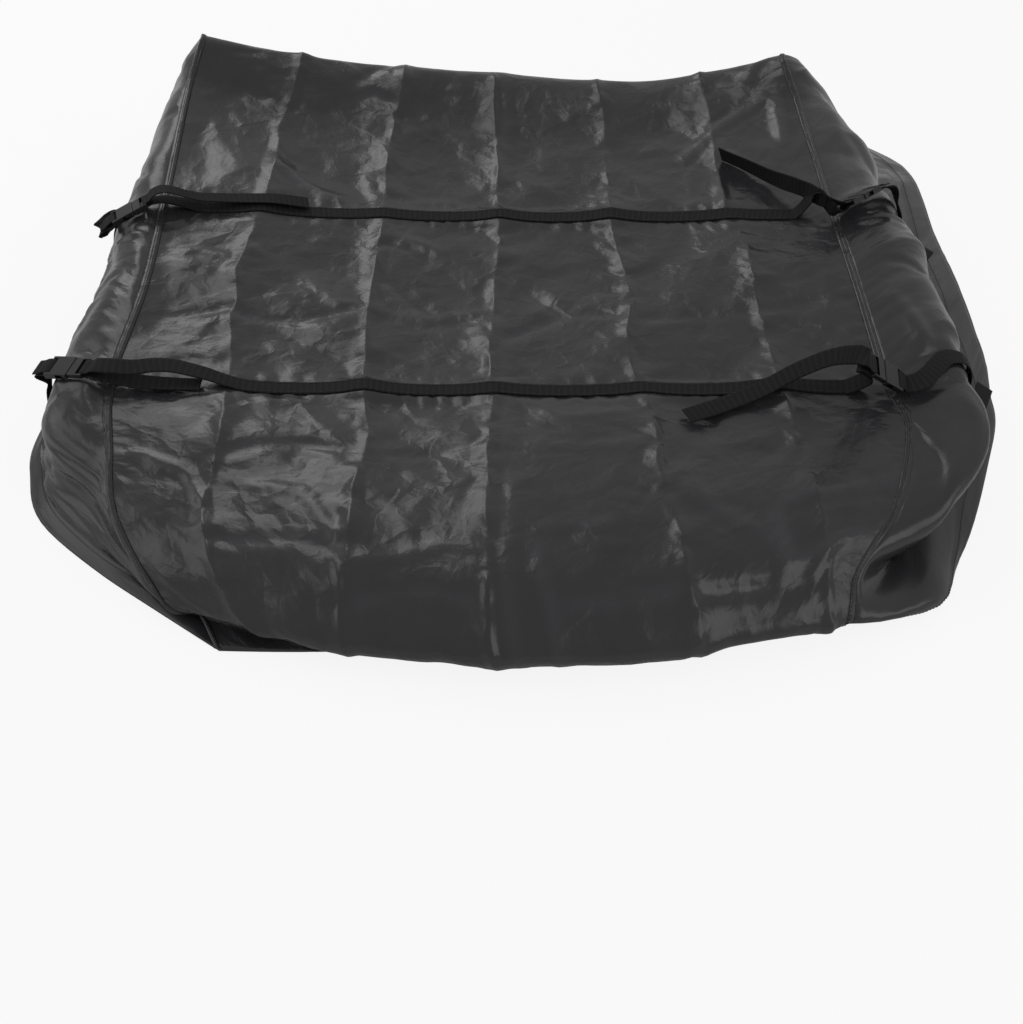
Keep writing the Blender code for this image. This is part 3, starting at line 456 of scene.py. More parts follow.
def grid_piece(name, points, cut, finish, thickness, crease=None):
    """A sheet from a grid of points, given its thickness, with its cut pattern as a UV map in metres."""
    columns, lines = points.shape[0] - 1, points.shape[1] - 1
    bm = bmesh.new()
    bmesh.ops.create_grid(bm, x_segments=columns, y_segments=lines, size=0.5)
    mesh = bpy.data.meshes.new(name)
    bm.to_mesh(mesh)
    bm.free()
    flat = np.zeros(len(mesh.vertices) * 3)
    mesh.vertices.foreach_get("co", flat)
    i, j = np.rint((flat.reshape(-1, 3)[:, :2] + 0.5) * [columns, lines]).astype(int).T
    mesh.vertices.foreach_set("co", (points[i, j] + ORIGIN).ravel())
    corner = np.zeros(len(mesh.loops), int)
    mesh.loops.foreach_get("vertex_index", corner)
    layer = mesh.uv_layers.new(name="cut")
    layer.uv.foreach_set("vector", cut[i, j][corner].ravel())
    if crease is not None:
        creased = mesh.attributes.new("crease", "FLOAT", "POINT")
        creased.data.foreach_set("value", crease[i, j].astype(np.float32))
    mesh.polygons.foreach_set("use_smooth", np.ones(len(mesh.polygons), bool))
    mesh.materials.append(finish)
    obj = bpy.data.objects.new(name, mesh)
    bpy.context.scene.collection.objects.link(obj)
    solid = obj.modifiers.new("thickness", "SOLIDIFY")
    solid.thickness = thickness
    solid.offset = 0.0
    return made_final(obj)


def made_final(obj):
    """The piece with its modifiers applied."""
    bpy.context.view_layer.update()
    mesh = bpy.data.meshes.new_from_object(obj.evaluated_get(bpy.context.evaluated_depsgraph_get()))
    obj.modifiers.clear()
    obj.data = mesh
    return obj


def stitch_row(name, points, normals, length=0.0038, gap=0.0012, radius=0.0004):
    """A row of lockstitches along a line of points: short lengths of thread that dip in at each end."""
    reach = distances(points)
    starts = np.arange(gap, reach[-1] - length, length + gap)
    profile = [(0.0, -0.6, 0.7), (0.12, 0.35, 0.9), (0.5, 0.8, 1.0), (0.88, 0.35, 0.9), (1.0, -0.6, 0.7)]
    sides = 6
    rings = []
    for share, lift, size in profile:
        at = starts + share * length
        middle = read_along(reach, points, at)
        up = read_along(reach, normals, at)
        up /= np.linalg.norm(up, axis=1)[:, None]
        run = read_along(reach, points, at + 1e-4) - read_along(reach, points, at - 1e-4)
        run /= np.linalg.norm(run, axis=1)[:, None]
        out = np.cross(run, up)
        for k in range(sides):
            angle = 2 * math.pi * k / sides
            turn = out * math.cos(angle) + up * math.sin(angle)
            rings.append(middle + up * lift * radius + turn * size * radius)
    vertices = np.stack(rings, axis=1).reshape(-1, 3) + ORIGIN
    count = len(profile) * sides
    faces = []
    for ring in range(len(profile) - 1):
        for k in range(sides):
            here, there = ring * sides, (ring + 1) * sides
            faces.append((here + k, here + (k + 1) % sides, there + (k + 1) % sides, there + k))
    ends = [tuple(range(sides))[::-1], tuple(range(count - sides, count))]
    every = [tuple(int(v) + n * count for v in face) for n in range(len(starts)) for face in faces + ends]
    mesh = bpy.data.meshes.new(name)
    mesh.from_pydata(vertices.tolist(), [], every)
    mesh.polygons.foreach_set("use_smooth", np.ones(len(mesh.polygons), bool))
    mesh.materials.append(THREAD_FINISH)
    obj = bpy.data.objects.new(name, mesh)
    bpy.context.scene.collection.objects.link(obj)
    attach(obj, "bag")
    return obj


# The centre panel.

# Packing folds that run along the bag, each as points across and along the cloth, in metres.
FOLDS = [
    [(0.166, 0.25), (0.161, 0.404), (0.148, 0.468), (0.151, 0.526), (0.139, 0.63), (0.131, 0.685),
     (0.114, 0.814), (0.126, 0.881), (0.121, 0.911), (0.144, 1.017), (0.144, 1.158), (0.134, 1.243),
     (0.121, 1.366), (0.116, 1.446), (0.121, 1.495), (0.161, 1.56)],
    [(0.345, 0.25), (0.337, 0.385), (0.324, 0.505), (0.319, 0.644), (0.309, 0.803), (0.307, 0.886),
     (0.314, 0.983), (0.324, 1.174), (0.307, 1.292), (0.309, 1.345), (0.302, 1.409), (0.285, 1.451),
     (0.257, 1.56)],
    [(0.502, 0.25), (0.5, 0.367), (0.505, 0.498), (0.497, 0.575), (0.497, 0.715), (0.488, 0.807),
     (0.483, 0.969), (0.488, 1.096), (0.465, 1.218), (0.473, 1.338), (0.483, 1.442), (0.475, 1.56)],
    [(0.676, 0.25), (0.686, 0.376), (0.676, 0.528), (0.668, 0.676), (0.686, 0.867), (0.673, 0.953),
     (0.673, 1.02), (0.683, 1.11), (0.673, 1.259), (0.695, 1.331), (0.742, 1.437), (0.762, 1.479),
     (0.775, 1.56)],
    [(0.856, 0.25), (0.856, 0.395), (0.846, 0.526), (0.844, 0.641), (0.861, 0.738), (0.856, 0.893),
     (0.859, 1.013), (0.854, 1.14), (0.844, 1.239), (0.876, 1.333), (0.901, 1.386), (0.938, 1.449),
     (0.97, 1.56)],
]

# Lesser creases: height of the ridge in millimetres (below 0 for a valley), then its points.
CREASES = [
    (2.0, [(0.515, 0.249), (0.522, 0.385), (0.507, 0.552)]),
    (1.5, [(0.492, 0.9), (0.502, 0.987), (0.507, 1.089), (0.496, 1.2), (0.505, 1.331), (0.507, 1.442),
     (0.515, 1.598)]),
    (2.8, [(0.532, 1.37), (0.544, 1.407), (0.567, 1.476), (0.572, 1.56)]),
    (-2.3, [(0.79, 0.505), (0.782, 0.605), (0.782, 0.72), (0.79, 0.775)]),
    (3.2, [(0.822, 1.349), (0.844, 1.384), (0.861, 1.412), (0.879, 1.442), (0.866, 1.474)]),
    (-3.2, [(0.005, 0.923), (0.067, 0.907), (0.111, 0.895), (0.158, 0.916), (0.213, 0.923), (0.299, 0.888)]),
    (2.3, [(0.302, 0.884), (0.394, 0.909), (0.483, 0.884)]),
    (-2.9, [(0.495, 0.964), (0.562, 0.918), (0.594, 0.9), (0.676, 0.907)]),
    (-2.3, [(0.691, 0.916), (0.775, 0.916), (0.859, 0.911), (0.96, 0.893), (0.99, 0.911)]),
    (-3.8, [(0.134, 1.243), (0.188, 1.216), (0.233, 1.204), (0.312, 1.223)]),
    (-2.0, [(0.324, 1.227), (0.401, 1.218), (0.473, 1.188)]),
    (1.7, [(0.5, 1.2), (0.579, 1.213), (0.666, 1.211)]),
    (-2.6, [(0.119, 1.396), (0.181, 1.391), (0.223, 1.386), (0.299, 1.4)]),
    (2.3, [(0.302, 1.414), (0.369, 1.402), (0.423, 1.386), (0.483, 1.389)]),
    (2.6, [(0.532, 1.372), (0.564, 1.359), (0.639, 1.356)]),
    (2.3, [(0.695, 1.289), (0.762, 1.347), (0.837, 1.396), (0.859, 1.416)]),
    (2.3, [(0.822, 1.349), (0.871, 1.333), (0.953, 1.324), (0.99, 1.306)]),
    (2.6, [(0.874, 1.442), (0.933, 1.407), (0.983, 1.4), (0.99, 1.368)]),
    (-3.5, [(0.747, 1.46), (0.797, 1.465), (0.866, 1.46), (0.874, 1.442)]),
    (4.3, [(0.139, 0.54), (0.198, 0.588), (0.228, 0.609), (0.267, 0.621)]),
    (3.2, [(0.208, 0.791), (0.23, 0.835), (0.26, 0.874), (0.299, 0.888)]),
    (2.9, [(0.334, 0.711), (0.374, 0.72), (0.416, 0.754)]),
    (2.9, [(0.319, 0.819), (0.354, 0.877), (0.396, 0.916)]),
    (2.9, [(0.21, 0.701), (0.24, 0.731)]),
    (3.2, [(0.121, 0.766), (0.144, 0.734)]),
    (-3.8, [(0.255, 0.351), (0.272, 0.332), (0.332, 0.26)]),
    (3.5, [(0.156, 0.30), (0.233, 0.30), (0.28, 0.342)]),
    (-4.1, [(0.257, 0.383), (0.287, 0.362), (0.337, 0.381)]),
    (3.8, [(0.017, 1.239), (0.074, 1.264), (0.101, 1.28), (0.121, 1.333), (0.119, 1.391)]),
    (3.5, [(0.921, 0.355), (0.945, 0.31), (0.985, 0.27)]),
    (4.3, [(0.955, 0.385), (0.869, 0.434), (0.785, 0.512)]),
    (4.9, [(0.96, 0.388), (0.95, 0.508)]),
    (2.6, [(0.851, 0.464), (0.874, 0.528), (0.896, 0.561)]),
    (-2.6, [(0.517, 0.826), (0.572, 0.888), (0.594, 0.904)]),
    (2.6, [(0.594, 0.904), (0.621, 0.874), (0.656, 0.851)]),
    (2.6, [(0.01, 0.771), (0.059, 0.754), (0.111, 0.78)]),
    (2.9, [(0.04, 1.022), (0.087, 0.999), (0.139, 1.02)]),
    (2.3, [(0.168, 1.294), (0.243, 1.301), (0.299, 1.396)]),
    (1.7, [(0.342, 0.434), (0.408, 0.413), (0.5, 0.427)]),
    (2.0, [(0.327, 0.63), (0.406, 0.605), (0.49, 0.63)]),
    (1.7, [(0.733, 0.468), (0.812, 0.473), (0.849, 0.464)]),
    (2.0, [(0.577, 1.472), (0.656, 1.467), (0.747, 1.46)]),
    (-2.0, [(0.295, 1.469), (0.394, 1.449), (0.478, 1.465)]),
    (1.7, [(0.52, 1.096), (0.564, 1.149), (0.666, 1.137)]),
]


def from_line(x, y, line):
    """Each grid point's distance from a line of points, then along it from its nearer end and its start."""
    line = np.array(line, float)
    reach = distances(line)
    nearest, along = np.full(x.shape, 9.0), np.zeros(x.shape)
    for k in range(len(line) - 1):
        step = line[k + 1] - line[k]
        f = np.clip(((x - line[k, 0]) * step[0] + (y - line[k, 1]) * step[1]) / (step @ step), 0, 1)
        gap = np.hypot(x - line[k, 0] - f * step[0], y - line[k, 1] - f * step[1])
        closer = gap < nearest
        nearest = np.where(closer, gap, nearest)
        along = np.where(closer, reach[k] + f * (reach[k + 1] - reach[k]), along)
    return nearest, np.minimum(along, reach[-1] - along), along


# Where the knots of the fields between the packing folds lie across the cloth, in metres.
FIELD_KNOTS = (
    -0.03, 0.035, 0.08, 0.19, 0.235, 0.275, 0.365, 0.41, 0.45, 0.545, 0.59, 0.63, 0.73, 0.775, 0.815, 0.9,
    0.945, 1.02,
)


def fold_knots():
    """Knots for the cloth's facets: on each packing fold, on its shoulders, and in the fields between."""
    knots, heights = [], []
    for fold in FOLDS:
        fold = np.array(fold)
        for b in np.arange(0.0, 1.64, 0.042):
            b = b + RANDOM.uniform(-0.012, 0.012)
            a = np.interp(b, fold[:, 1], fold[:, 0])
            shift = RANDOM.uniform(-0.015, 0.015, 2)
            knots += [(a, b), (a - RANDOM.uniform(0.009, 0.024), b + shift[0]),
                      (a + RANDOM.uniform(0.006, 0.014), b + shift[1])]
            for low, high in ((0.0008, 0.0036), (-0.0012, 0.0008), (-0.0012, 0.0002)):
                heights.append(RANDOM.uniform(low, high))
    for a in FIELD_KNOTS:
        for b in np.arange(-0.03, 1.68, 0.062):
            knots.append((a + RANDOM.uniform(-0.014, 0.014), b + RANDOM.uniform(-0.026, 0.026)))
            heights.append(RANDOM.uniform(-0.0016, 0.0016))
    return knots, heights


def cloth_lines():
    """Grid lines of the centre panel: each packing fold lies on a line, and the lines crowd beside it."""
    b = np.linspace(REAR_HEM, FRONT_HEM, 251)
    folds = [np.interp(b, *np.array(fold).T[::-1]) for fold in FOLDS]
    stops = [np.full(len(b), 0.0004), *folds, np.full(len(b), TOP_WIDTH - 0.0004)]
    share = np.arange(33)[:, None] / 33
    share = share - 0.5 * np.sin(2 * np.pi * share) / (2 * np.pi)
    fields = [start + (stop - start) * share for start, stop in zip(stops, stops[1:])]
    x = np.concatenate([*fields, stops[-1][None]])
    return x, np.broadcast_to(b, x.shape).copy()


def fold_ridge(away, tip):
    """A fold that stands up: straight slopes that run out, with a tip rounded over this distance."""
    return np.exp(-(np.sqrt(away ** 2 + tip ** 2) - tip) / PACKING_FOLD_SLOPE)


def wrinkles(x, y, count, length, rise, lean):
    """Short ridges and valleys scattered over the cloth, most of them across it."""
    height = np.zeros(x.shape)
    for _ in range(count):
        start = np.array([RANDOM.uniform(x.min(), x.max()), RANDOM.uniform(y.min(), y.max())])
        turn, reach = RANDOM.normal(0, lean), RANDOM.uniform(0.4, 1) * length
        bend = RANDOM.uniform(-0.5, 0.5)
        middle = start + reach / 2 * np.array([math.cos(turn), math.sin(turn)])
        stop = middle + reach / 2 * np.array([math.cos(turn + bend), math.sin(turn + bend)])
        away, end, _ = from_line(x, y, [start, middle, stop])
        reach_share = np.clip(1 - away / WRINKLE_REACH, 0, 1)
        height += RANDOM.uniform(-1, 1) * rise * np.clip(end / WRINKLE_FADE, 0, 1) * reach_share
    return height


def centre_heights(x, y):
    """Packing folds, facets and puckers of the centre panel: x across and y along the cloth, in metres."""
    body = np.clip(y / 0.06, 0.15, 1) * np.clip((FRONT_HEM - y) / 0.08, 0.1, 1)
    body *= 1 - 0.6 * near(y - REAR_EDGE, 0.02)
    edge = np.clip(np.minimum(x, TOP_WIDTH - x) / 0.035, 0, 1)
    ridges, beds, creases = np.zeros(x.shape), np.zeros(x.shape), np.zeros(x.shape)
    for k, fold in enumerate(FOLDS):
        away, _, along = from_line(x, y, fold)
        swell = 0.75 + 0.25 * np.sin(along / 0.045 + 2 * k)
        ridges += PACKING_FOLD * fold_ridge(away, 0.0) * swell
        beds += PACKING_FOLD_UNDER_STRAP * fold_ridge(away, PACKING_FOLD_TIP) * swell
    for rise, line in CREASES:
        away, end, _ = from_line(x, y, line)
        creases += rise * 0.001 * np.clip(end / CREASE_FADE, 0, 1) * np.clip(1 - away / CREASE_REACH, 0, 1)
    facets = folded_flat(x, y, *fold_knots()) + crumple(x, y, spacing=0.13, height=0.0055)
    small = crumple(x, y, spacing=0.05, height=0.0014) + crumple(x, y, spacing=0.024, height=0.0005)
    small += wrinkles(x, y, count=110, length=0.11, rise=0.0024, lean=0.7)
    height = (facets + creases + small) * edge * body + ridges * body * edge ** 0.5
    for strap in (REAR_STRAP, FRONT_STRAP):
        away = np.abs(y - strap)
        held = near(np.maximum(away - BED, 0), 0.010)
        height = height * (1 - held) + beds * edge ** 0.5 * held
        pucker = np.sin(x / PUCKER_WAVE + 3 * np.sin(x / 0.06)) * (0.5 + 0.5 * np.sin(x / 0.031 + strap))
        height += PUCKER * pucker * near(away - BED - 0.008, 0.013) * (away > BED) * edge
    drawn_up = np.clip(np.sin(y / 0.09 + x * 3) + 0.2, 0, 1)
    from_seam = np.minimum(x, TOP_WIDTH - x)
    gather = np.sin(y / GATHER_WAVE + 3 * np.sin(y / 0.05)) * near(from_seam - 0.014, 0.014)
    return height + GATHER["centre"] * gather * drawn_up, creases


def make_centre_panel():
    x, y = cloth_lines()
    form = centre_form((x / TOP_WIDTH).ravel(), y.ravel()).reshape(*x.shape, 3)
    height, creases = centre_heights(x, y)
    points, normal = along_normals(form, height)
    if normal[80, 100, 2] < 0:
        points = 2 * form - points
    points[..., 2] = np.maximum(points[..., 2], HEM_LIFT)
    cut = np.stack([x, y], axis=2)
    panel = grid_piece("centre_cloth", points, cut, CLOTH_FINISH, CLOTH, np.abs(creases) / 0.003)
    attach(panel, "bag")
    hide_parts("centre_panel")
    return Cloth(x / TOP_WIDTH, y[0], points)


# The side panels.

def side_heights(x, y):
    """Wrinkles of a side panel: x along from rear to front, y down from the seam, in metres."""
    body = np.clip((REAR_WALL - y) / 0.05, 0.15, 1) * np.clip(y / 0.03, 0, 1)
    body *= np.clip(np.minimum(x, TOP_LENGTH - x) / 0.03, 0, 1)
    height = crumple(x, y, spacing=0.1, height=0.009) + crumple(x, y, spacing=0.045, height=0.003)
    height = height + crumple(x, y, spacing=0.02, height=0.0005)
    height = (height + wrinkles(x, y, count=60, length=0.16, rise=0.006, lean=1.2)) * body
    drawn_up = np.clip(np.sin(x / 0.09 + y * 3) + 0.1, 0, 1)
    gather = np.sin(x / GATHER_WAVE + 3 * np.sin(x / 0.05))
    height += GATHER["wall"] * gather * near(y - 0.012, 0.014) * drawn_up
    for strap in (REAR_STRAP, FRONT_STRAP):
        away = np.abs(x - (strap - REAR_EDGE))
        flat = near(np.maximum(away - BED, 0), 0.01)
        height = height * (1 - flat)
    turned = y - (REAR_WALL - HEM_WIDTH)
    hem = np.clip(turned / 0.002, 0, 1) * TURNED_EDGE
    groove = -HEM_GROOVE * near(turned + 0.003, 0.002)
    ripple = HEM_RIPPLE * np.sin(x / HEM_RIPPLE_WAVE + 4 * np.sin(x / 0.06)) * np.sin(x / 0.11)
    ripple = ripple * near(turned - HEM_WIDTH / 2, 0.012)
    return height + hem + groove + ripple


def make_side_panel(name, side):
    a = np.linspace(0.0006, TOP_LENGTH - 0.0006, 229)
    b = np.linspace(0.0006, REAR_WALL, 69)
    x, y = np.meshgrid(a, b, indexing="ij")
    form = side_form(side, (x / TOP_LENGTH).ravel(), (y / REAR_WALL).ravel()).reshape(*x.shape, 3)
    points, normal = along_normals(form, side_heights(x, y))
    if normal[96, 20, 0] * (-1 if side == LEFT else 1) < 0:
        points = 2 * form - points
    points[..., 2] = np.maximum(points[..., 2], HEM_LIFT)
    panel = grid_piece(name + "_cloth", points, np.stack([x, y], axis=2), CLOTH_FINISH, CLOTH)
    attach(panel, "bag")
    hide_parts(name + "_panel")
    return Cloth(a[:, None] / TOP_LENGTH, b / REAR_WALL, points)


# Webbing, as a path of middle points, each with the direction of its width.

def smooth_path(middle, width, step=0.0035):
    """The path through the given points, rounded and read often enough to bend smoothly."""
    middle, width = np.array(middle), np.array(width)
    gaps = np.maximum(np.linalg.norm(np.diff(middle, axis=0), axis=1), 1e-5)
    knots = np.concatenate([[0.0], np.cumsum(np.sqrt(gaps))])
    at = [0.0]
    for k, gap in enumerate(gaps):
        cells = max(2, math.ceil(gap / step))
        at += list(knots[k] + (knots[k + 1] - knots[k]) * np.arange(1, cells + 1) / cells)
    return spline(knots, middle, at), spline(knots, width, at)


def webbing_strip(name, middle, width):
    """Webbing along a path, with its length."""
    middle, width = smooth_path(middle, width)
    run = np.gradient(middle, axis=0)
    run /= np.linalg.norm(run, axis=1)[:, None]
    width = width - (width * run).sum(axis=1)[:, None] * run
    width /= np.linalg.norm(width, axis=1)[:, None]
    normal = np.cross(run, width)
    across = np.linspace(-0.5, 0.5, 13)
    reach = distances(middle)
    selvedge = 0.0003 * np.abs(2 * across) ** 8
    points = middle[None] + width[None] * (across * WEBBING_WIDTH)[:, None, None]
    points = points - normal[None] * selvedge[:, None, None]
    cut = np.stack(np.meshgrid(across * WEBBING_WIDTH, reach, indexing="ij"), axis=2)
    strip = grid_piece(name, points, cut, WEBBING_FINISH, WEBBING)
    return strip, float(reach[-1])


def buckle_matrix(corner):
    """From a buckle's own frame, X out of the socket and Z out of its face, to the bag's."""
    place, out, face = [Vector(v) for v in BUCKLES[corner]]
    matrix = Matrix((out, face.cross(out), face)).transposed().to_4x4()
    matrix.translation = place
    return matrix


def round_bar(corner, near_face, far_face, below, above, flip):
    """Webbing round a buckle's bar, from below it to above it."""
    matrix = buckle_matrix(corner)
    way = 1 if far_face > near_face else -1
    turn = near_face - way * WRAP_REACH
    bend = [(near_face, ROUND_BAR), (turn + way * WRAP_BEND, ROUND_BAR * 0.72), (turn, ROUND_BAR * 0.4)]
    points = [(far_face + way * run, z) for run, z in below]
    points += [(x, -z) for x, z in bend] + bend[::-1]
    points += [(far_face + way * run, z) for run, z in above]
    sign = -1 if "left" in corner else 1
    width = (matrix.to_3x3() @ Vector((0, sign, 0))).normalized()
    made = [np.array(matrix @ Vector((x, 0, z))) for x, z in points]
    path = (made, [np.array(width)] * len(made))
    return reverse(path) if flip else path


def reverse(path):
    """The path from its other end."""
    return list(path[0])[::-1], list(path[1])[::-1]


def free_run(start, middle, end, count):
    """A smooth free run between two fixed ends: each gives two points and a width direction."""
    points = np.array([start[0], start[1], *middle, end[1], end[0]])
    reach = distances(points)
    at = np.linspace(reach[1], reach[-2], count + 2)[1:-1]
    share = (at - at[0]) / (at[-1] - at[0])
    return list(spline(reach, points, at)), [start[2] * (1 - f) + end[2] * f for f in share]


def sewn_run(cloth, u, s):
    """Webbing lying flat on the centre panel."""
    u = np.asarray(u, float)
    full = np.full(len(u), s)
    rear, _ = cloth.at(u, full - BED * 0.8)
    front, _ = cloth.at(u, full + BED * 0.8)
    middle, normal = cloth.at(u, full)
    lift = CLOTH / 2 + WEBBING / 2 + 0.0004
    width = front - rear
    middle = np.maximum(middle, (rear + front) / 2) + normal * lift
    return list(middle), list(width / np.linalg.norm(width, axis=1)[:, None])


# One cell of the cloth's grid, as a share of its width.
CELL = 1 / 36

# Each strap's end. Free run and tail are points over the cloth: share across it, metres ahead of the strap
# and height. The wall strap starts and stops at shares of the wall's height below the seam.
ENDS = {
    "rear_left": {
        "sewn": (3 * CELL, 2 * CELL), "flip": False, "leaves": [(0.018, -0.0042)],
        "free": [(0.02, 0.0, 0.009)],
        "tail": [(0.05, -0.004, 0.016), (0.10, -0.010, 0.0095), (0.155, -0.011, 0.008),
                 (0.205, -0.012, 0.008)],
        "wall_start": 0.32,
    },
    "rear_right": {
        "sewn": (33 * CELL, 34 * CELL), "flip": False, "leaves": [(0.018, -0.0042)],
        "free": [(0.98, -0.004, 0.032)],
        "tail": [(0.965, -0.025, 0.030), (0.93, -0.06, 0.021), (0.895, -0.10, 0.016), (0.862, -0.13, 0.0145)],
        "wall_start": 0.30, "tail_turn": 1.0,
    },
    "front_left": {
        "sewn": (7 * CELL, 6 * CELL), "flip": True, "leaves": [(0.018, -0.0042)],
        "free": [(0.12, -0.006, 0.016), (0.07, -0.018, 0.024), (0.02, -0.008, 0.026)],
        "tail": [(0.03, 0.0, 0.009), (0.07, 0.004, 0.0075), (0.115, 0.008, 0.007)],
        "wall_start": 0.34,
    },
    "front_right": {
        "sewn": (33 * CELL, 34 * CELL), "flip": False, "leaves": [(0.014, 0.0045)],
        "free": [(0.975, 0.0, 0.022)],
        "tail": [(0.93, 0.0, 0.055), (0.88, 0.006, 0.030), (0.835, 0.022, 0.014), (0.787, 0.046, 0.009),
                 (0.727, 0.078, 0.008)],
        "wall_start": 0.22, "hem_start": 0.962,
    },
}


def over_cloth(cloth, s, route):
    """Points over the centre panel from a route in ENDS."""
    u, ahead, height = np.array(route).T
    return list(cloth.at(u, s + ahead, height)[0])


def strap_end(cloth, corner, s):
    """A strap's end: from its last stitches out to the plug, round its bar and back as a tail."""
    end = ENDS[corner]
    near_face = PLUG_END - BAR
    below, above = [(0.016, -0.0065), (0.006, -ROUND_BAR)], [(0.006, ROUND_BAR), (0.014, 0.0062)]
    wrap = round_bar(corner, near_face, PLUG_END, below, above, end["flip"])
    bed = sewn_run(cloth, end["sewn"], s)
    out = free_run((bed[0][0], bed[0][1], bed[1][1]), over_cloth(cloth, s, end["free"]),
                   (wrap[0][1], wrap[0][0], wrap[1][0]), 7)
    tail = over_cloth(cloth, s, end["tail"])
    ahead = tail[-1] + (tail[-1] - tail[-2])
    turn = end.get("tail_turn", 0.0)
    across = bed[1][1] * math.cos(turn) + np.array([0.0, 0.0, math.sin(turn)])
    bar_end = (wrap[0][-2], wrap[0][-1], wrap[1][-1])
    back = free_run(bar_end, tail[:-1], (ahead, tail[-1], across), 3 * len(tail))
    return join(out, wrap, back, ([tail[-1]], [across]))


def join(*paths):
    return [p for path in paths for p in path[0]], [w for path in paths for w in path[1]]


def make_strap(name, cloth, s):
    """A strap in two halves that meet at its middle, each running out round its own plug."""
    for side in ("left", "right"):
        corner = f"{name}_{side}"
        start, stop = ENDS[corner]["sewn"][1], 0.5
        u = np.linspace(stop, start, max(3, round(abs(stop - start) / 0.007) + 1))
        middle, width = join(sewn_run(cloth, u, s), strap_end(cloth, corner, s))
        strip, length = webbing_strip(f"{name}_strap_{side}_half", middle, width)
        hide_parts(f"{name}_strap")
        last = sewn_run(cloth, [start], s)[0][0]
        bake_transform(strip)
        strap_stitches(f"{name}_{side}", cloth, u, s)


def strap_stitches(name, cloth, u, s):
    """Two rows of stitches on a strap, beside its edges."""
    fine = np.linspace(u[0], u[-1], 200)
    middle, width = [np.array(part) for part in sewn_run(cloth, fine, s)]
    for row, ahead in (("rear", -STRAP_STITCH_PLACE), ("front", STRAP_STITCH_PLACE)):
        _, normal = cloth.at(fine, np.full(len(fine), s + ahead))
        stitch_row(f"{name}_strap_stitches_{row}", middle + width * ahead + normal * WEBBING / 2, normal)


def make_wall_strap(corner, cloth, s):
    """From the hem up the side panel, round the socket's bar and back along itself."""
    end = ENDS[corner]
    wrap = round_bar(corner, SOCKET_END + BAR, SOCKET_END, end["leaves"] + [(0.006, -ROUND_BAR)],
                     [(0.006, ROUND_BAR), (0.013, 0.0004), (0.022, -0.0012)], False)
    steps = np.linspace(end.get("hem_start", 0.93), end["wall_start"], 14)
    t = np.full(len(steps), (s - REAR_EDGE) / TOP_LENGTH)
    reach = BED / TOP_LENGTH
    rear, _ = cloth.at(t - reach, steps)
    front, _ = cloth.at(t + reach, steps)
    middle, normal = cloth.at(t, steps)
    normal = normal if normal[:, 2].mean() > 0 else -normal
    lift = CLOTH / 2 + WEBBING / 2 + 0.0006 + 0.005 * np.sin(np.pi * steps)
    middle = (rear + front) / 2 + normal * lift[:, None]
    middle[:, 2] = np.maximum(middle[:, 2], HEM_LIFT + CLOTH + WEBBING)
    width = np.cross(np.gradient(middle, axis=0), normal)
    width *= np.sign((width * (front - rear)).sum(axis=1))[:, None]
    width /= np.linalg.norm(width, axis=1)[:, None]
    up = free_run((middle[-2], middle[-1], width[-1]), [], (wrap[0][1], wrap[0][0], wrap[1][0]), 4)
    path = join((list(middle), list(width)), up, wrap)
    strip, length = webbing_strip(f"{corner}_wall_webbing", *path)
    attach(strip, "bag")
    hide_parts(f"{corner}_wall_strap")


# Seam binding.

def make_binding(name, side, centre, wall):
    """A tape folded over the seam, drawn up here and there by its stitches."""
    s = np.linspace(REAR_HEM, FRONT_HEM, 560)
    t = np.clip((s - REAR_EDGE) / TOP_LENGTH, TAPE_WIDTH / 2 / TOP_LENGTH, 1 - TAPE_WIDTH / 2 / TOP_LENGTH)
    down = np.maximum((REAR_EDGE - s) / REAR_WALL, (s - FRONT_EDGE) / (FRONT_HEM - FRONT_EDGE))
    w = np.clip(down, TAPE_WIDTH / 2 / REAR_WALL, 1.0)
    u = np.full(len(s), TAPE_WIDTH / 2 / TOP_WIDTH)
    u = u if side == LEFT else 1 - u
    gap, rise, thickness = TAPE_LIE[side]
    lift = CLOTH / 2 + gap
    outer, outer_normal = wall.at(t, w, lift)
    seam = seam_line(side, s)
    half = TAPE_WIDTH / 2 / np.linalg.norm(outer - seam, axis=1)
    outer = seam + (outer - seam) * np.minimum(half, 1.0)[:, None]
    inner, inner_normal = centre.at(u, s, lift)
    crest = outer_normal + inner_normal
    crest /= np.linalg.norm(crest, axis=1)[:, None]
    middle = seam + crest * (lift + rise + 0.0002 * np.sin(s / 0.0042))[:, None]
    across = np.linspace(-1, 1, 9)
    points = []
    for k in across:
        blend = k * k
        edge = outer if k < 0 else inner
        points.append(middle * (1 - blend) + edge * blend + crest * 0.0006 * abs(k) * (1 - abs(k)) * 4)
    points = np.array(points)
    points[..., 2] = np.maximum(points[..., 2], HEM_LIFT)
    cut = np.stack(np.meshgrid(across * TAPE_WIDTH / 2, s, indexing="ij"), axis=2)
    tape = grid_piece(name + "_seam_tape", points, cut, CLOTH_FINISH, thickness)
    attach(tape, "bag")
    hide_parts(name + "_seam_binding")
    sewn = points[7]
    fine = distances(sewn)
    at = np.linspace(0, fine[-1], 700)
    line = read_along(fine, sewn, at)
    normal = read_along(fine, inner_normal, at)
    stitch_row(name + "_seam_stitches", line + normal * 0.0005, normal)


def hem_stitches(name, cloth):
    """The row of stitches that holds a wall's turned hem."""
    t = np.linspace(0.01, 0.99, 900)
    w = np.full(len(t), 1 - (HEM_WIDTH - 0.003) / REAR_WALL)
    points, normal = cloth.at(t, w, CLOTH / 2 + 0.0001)
    stitch_row(name, points, normal)


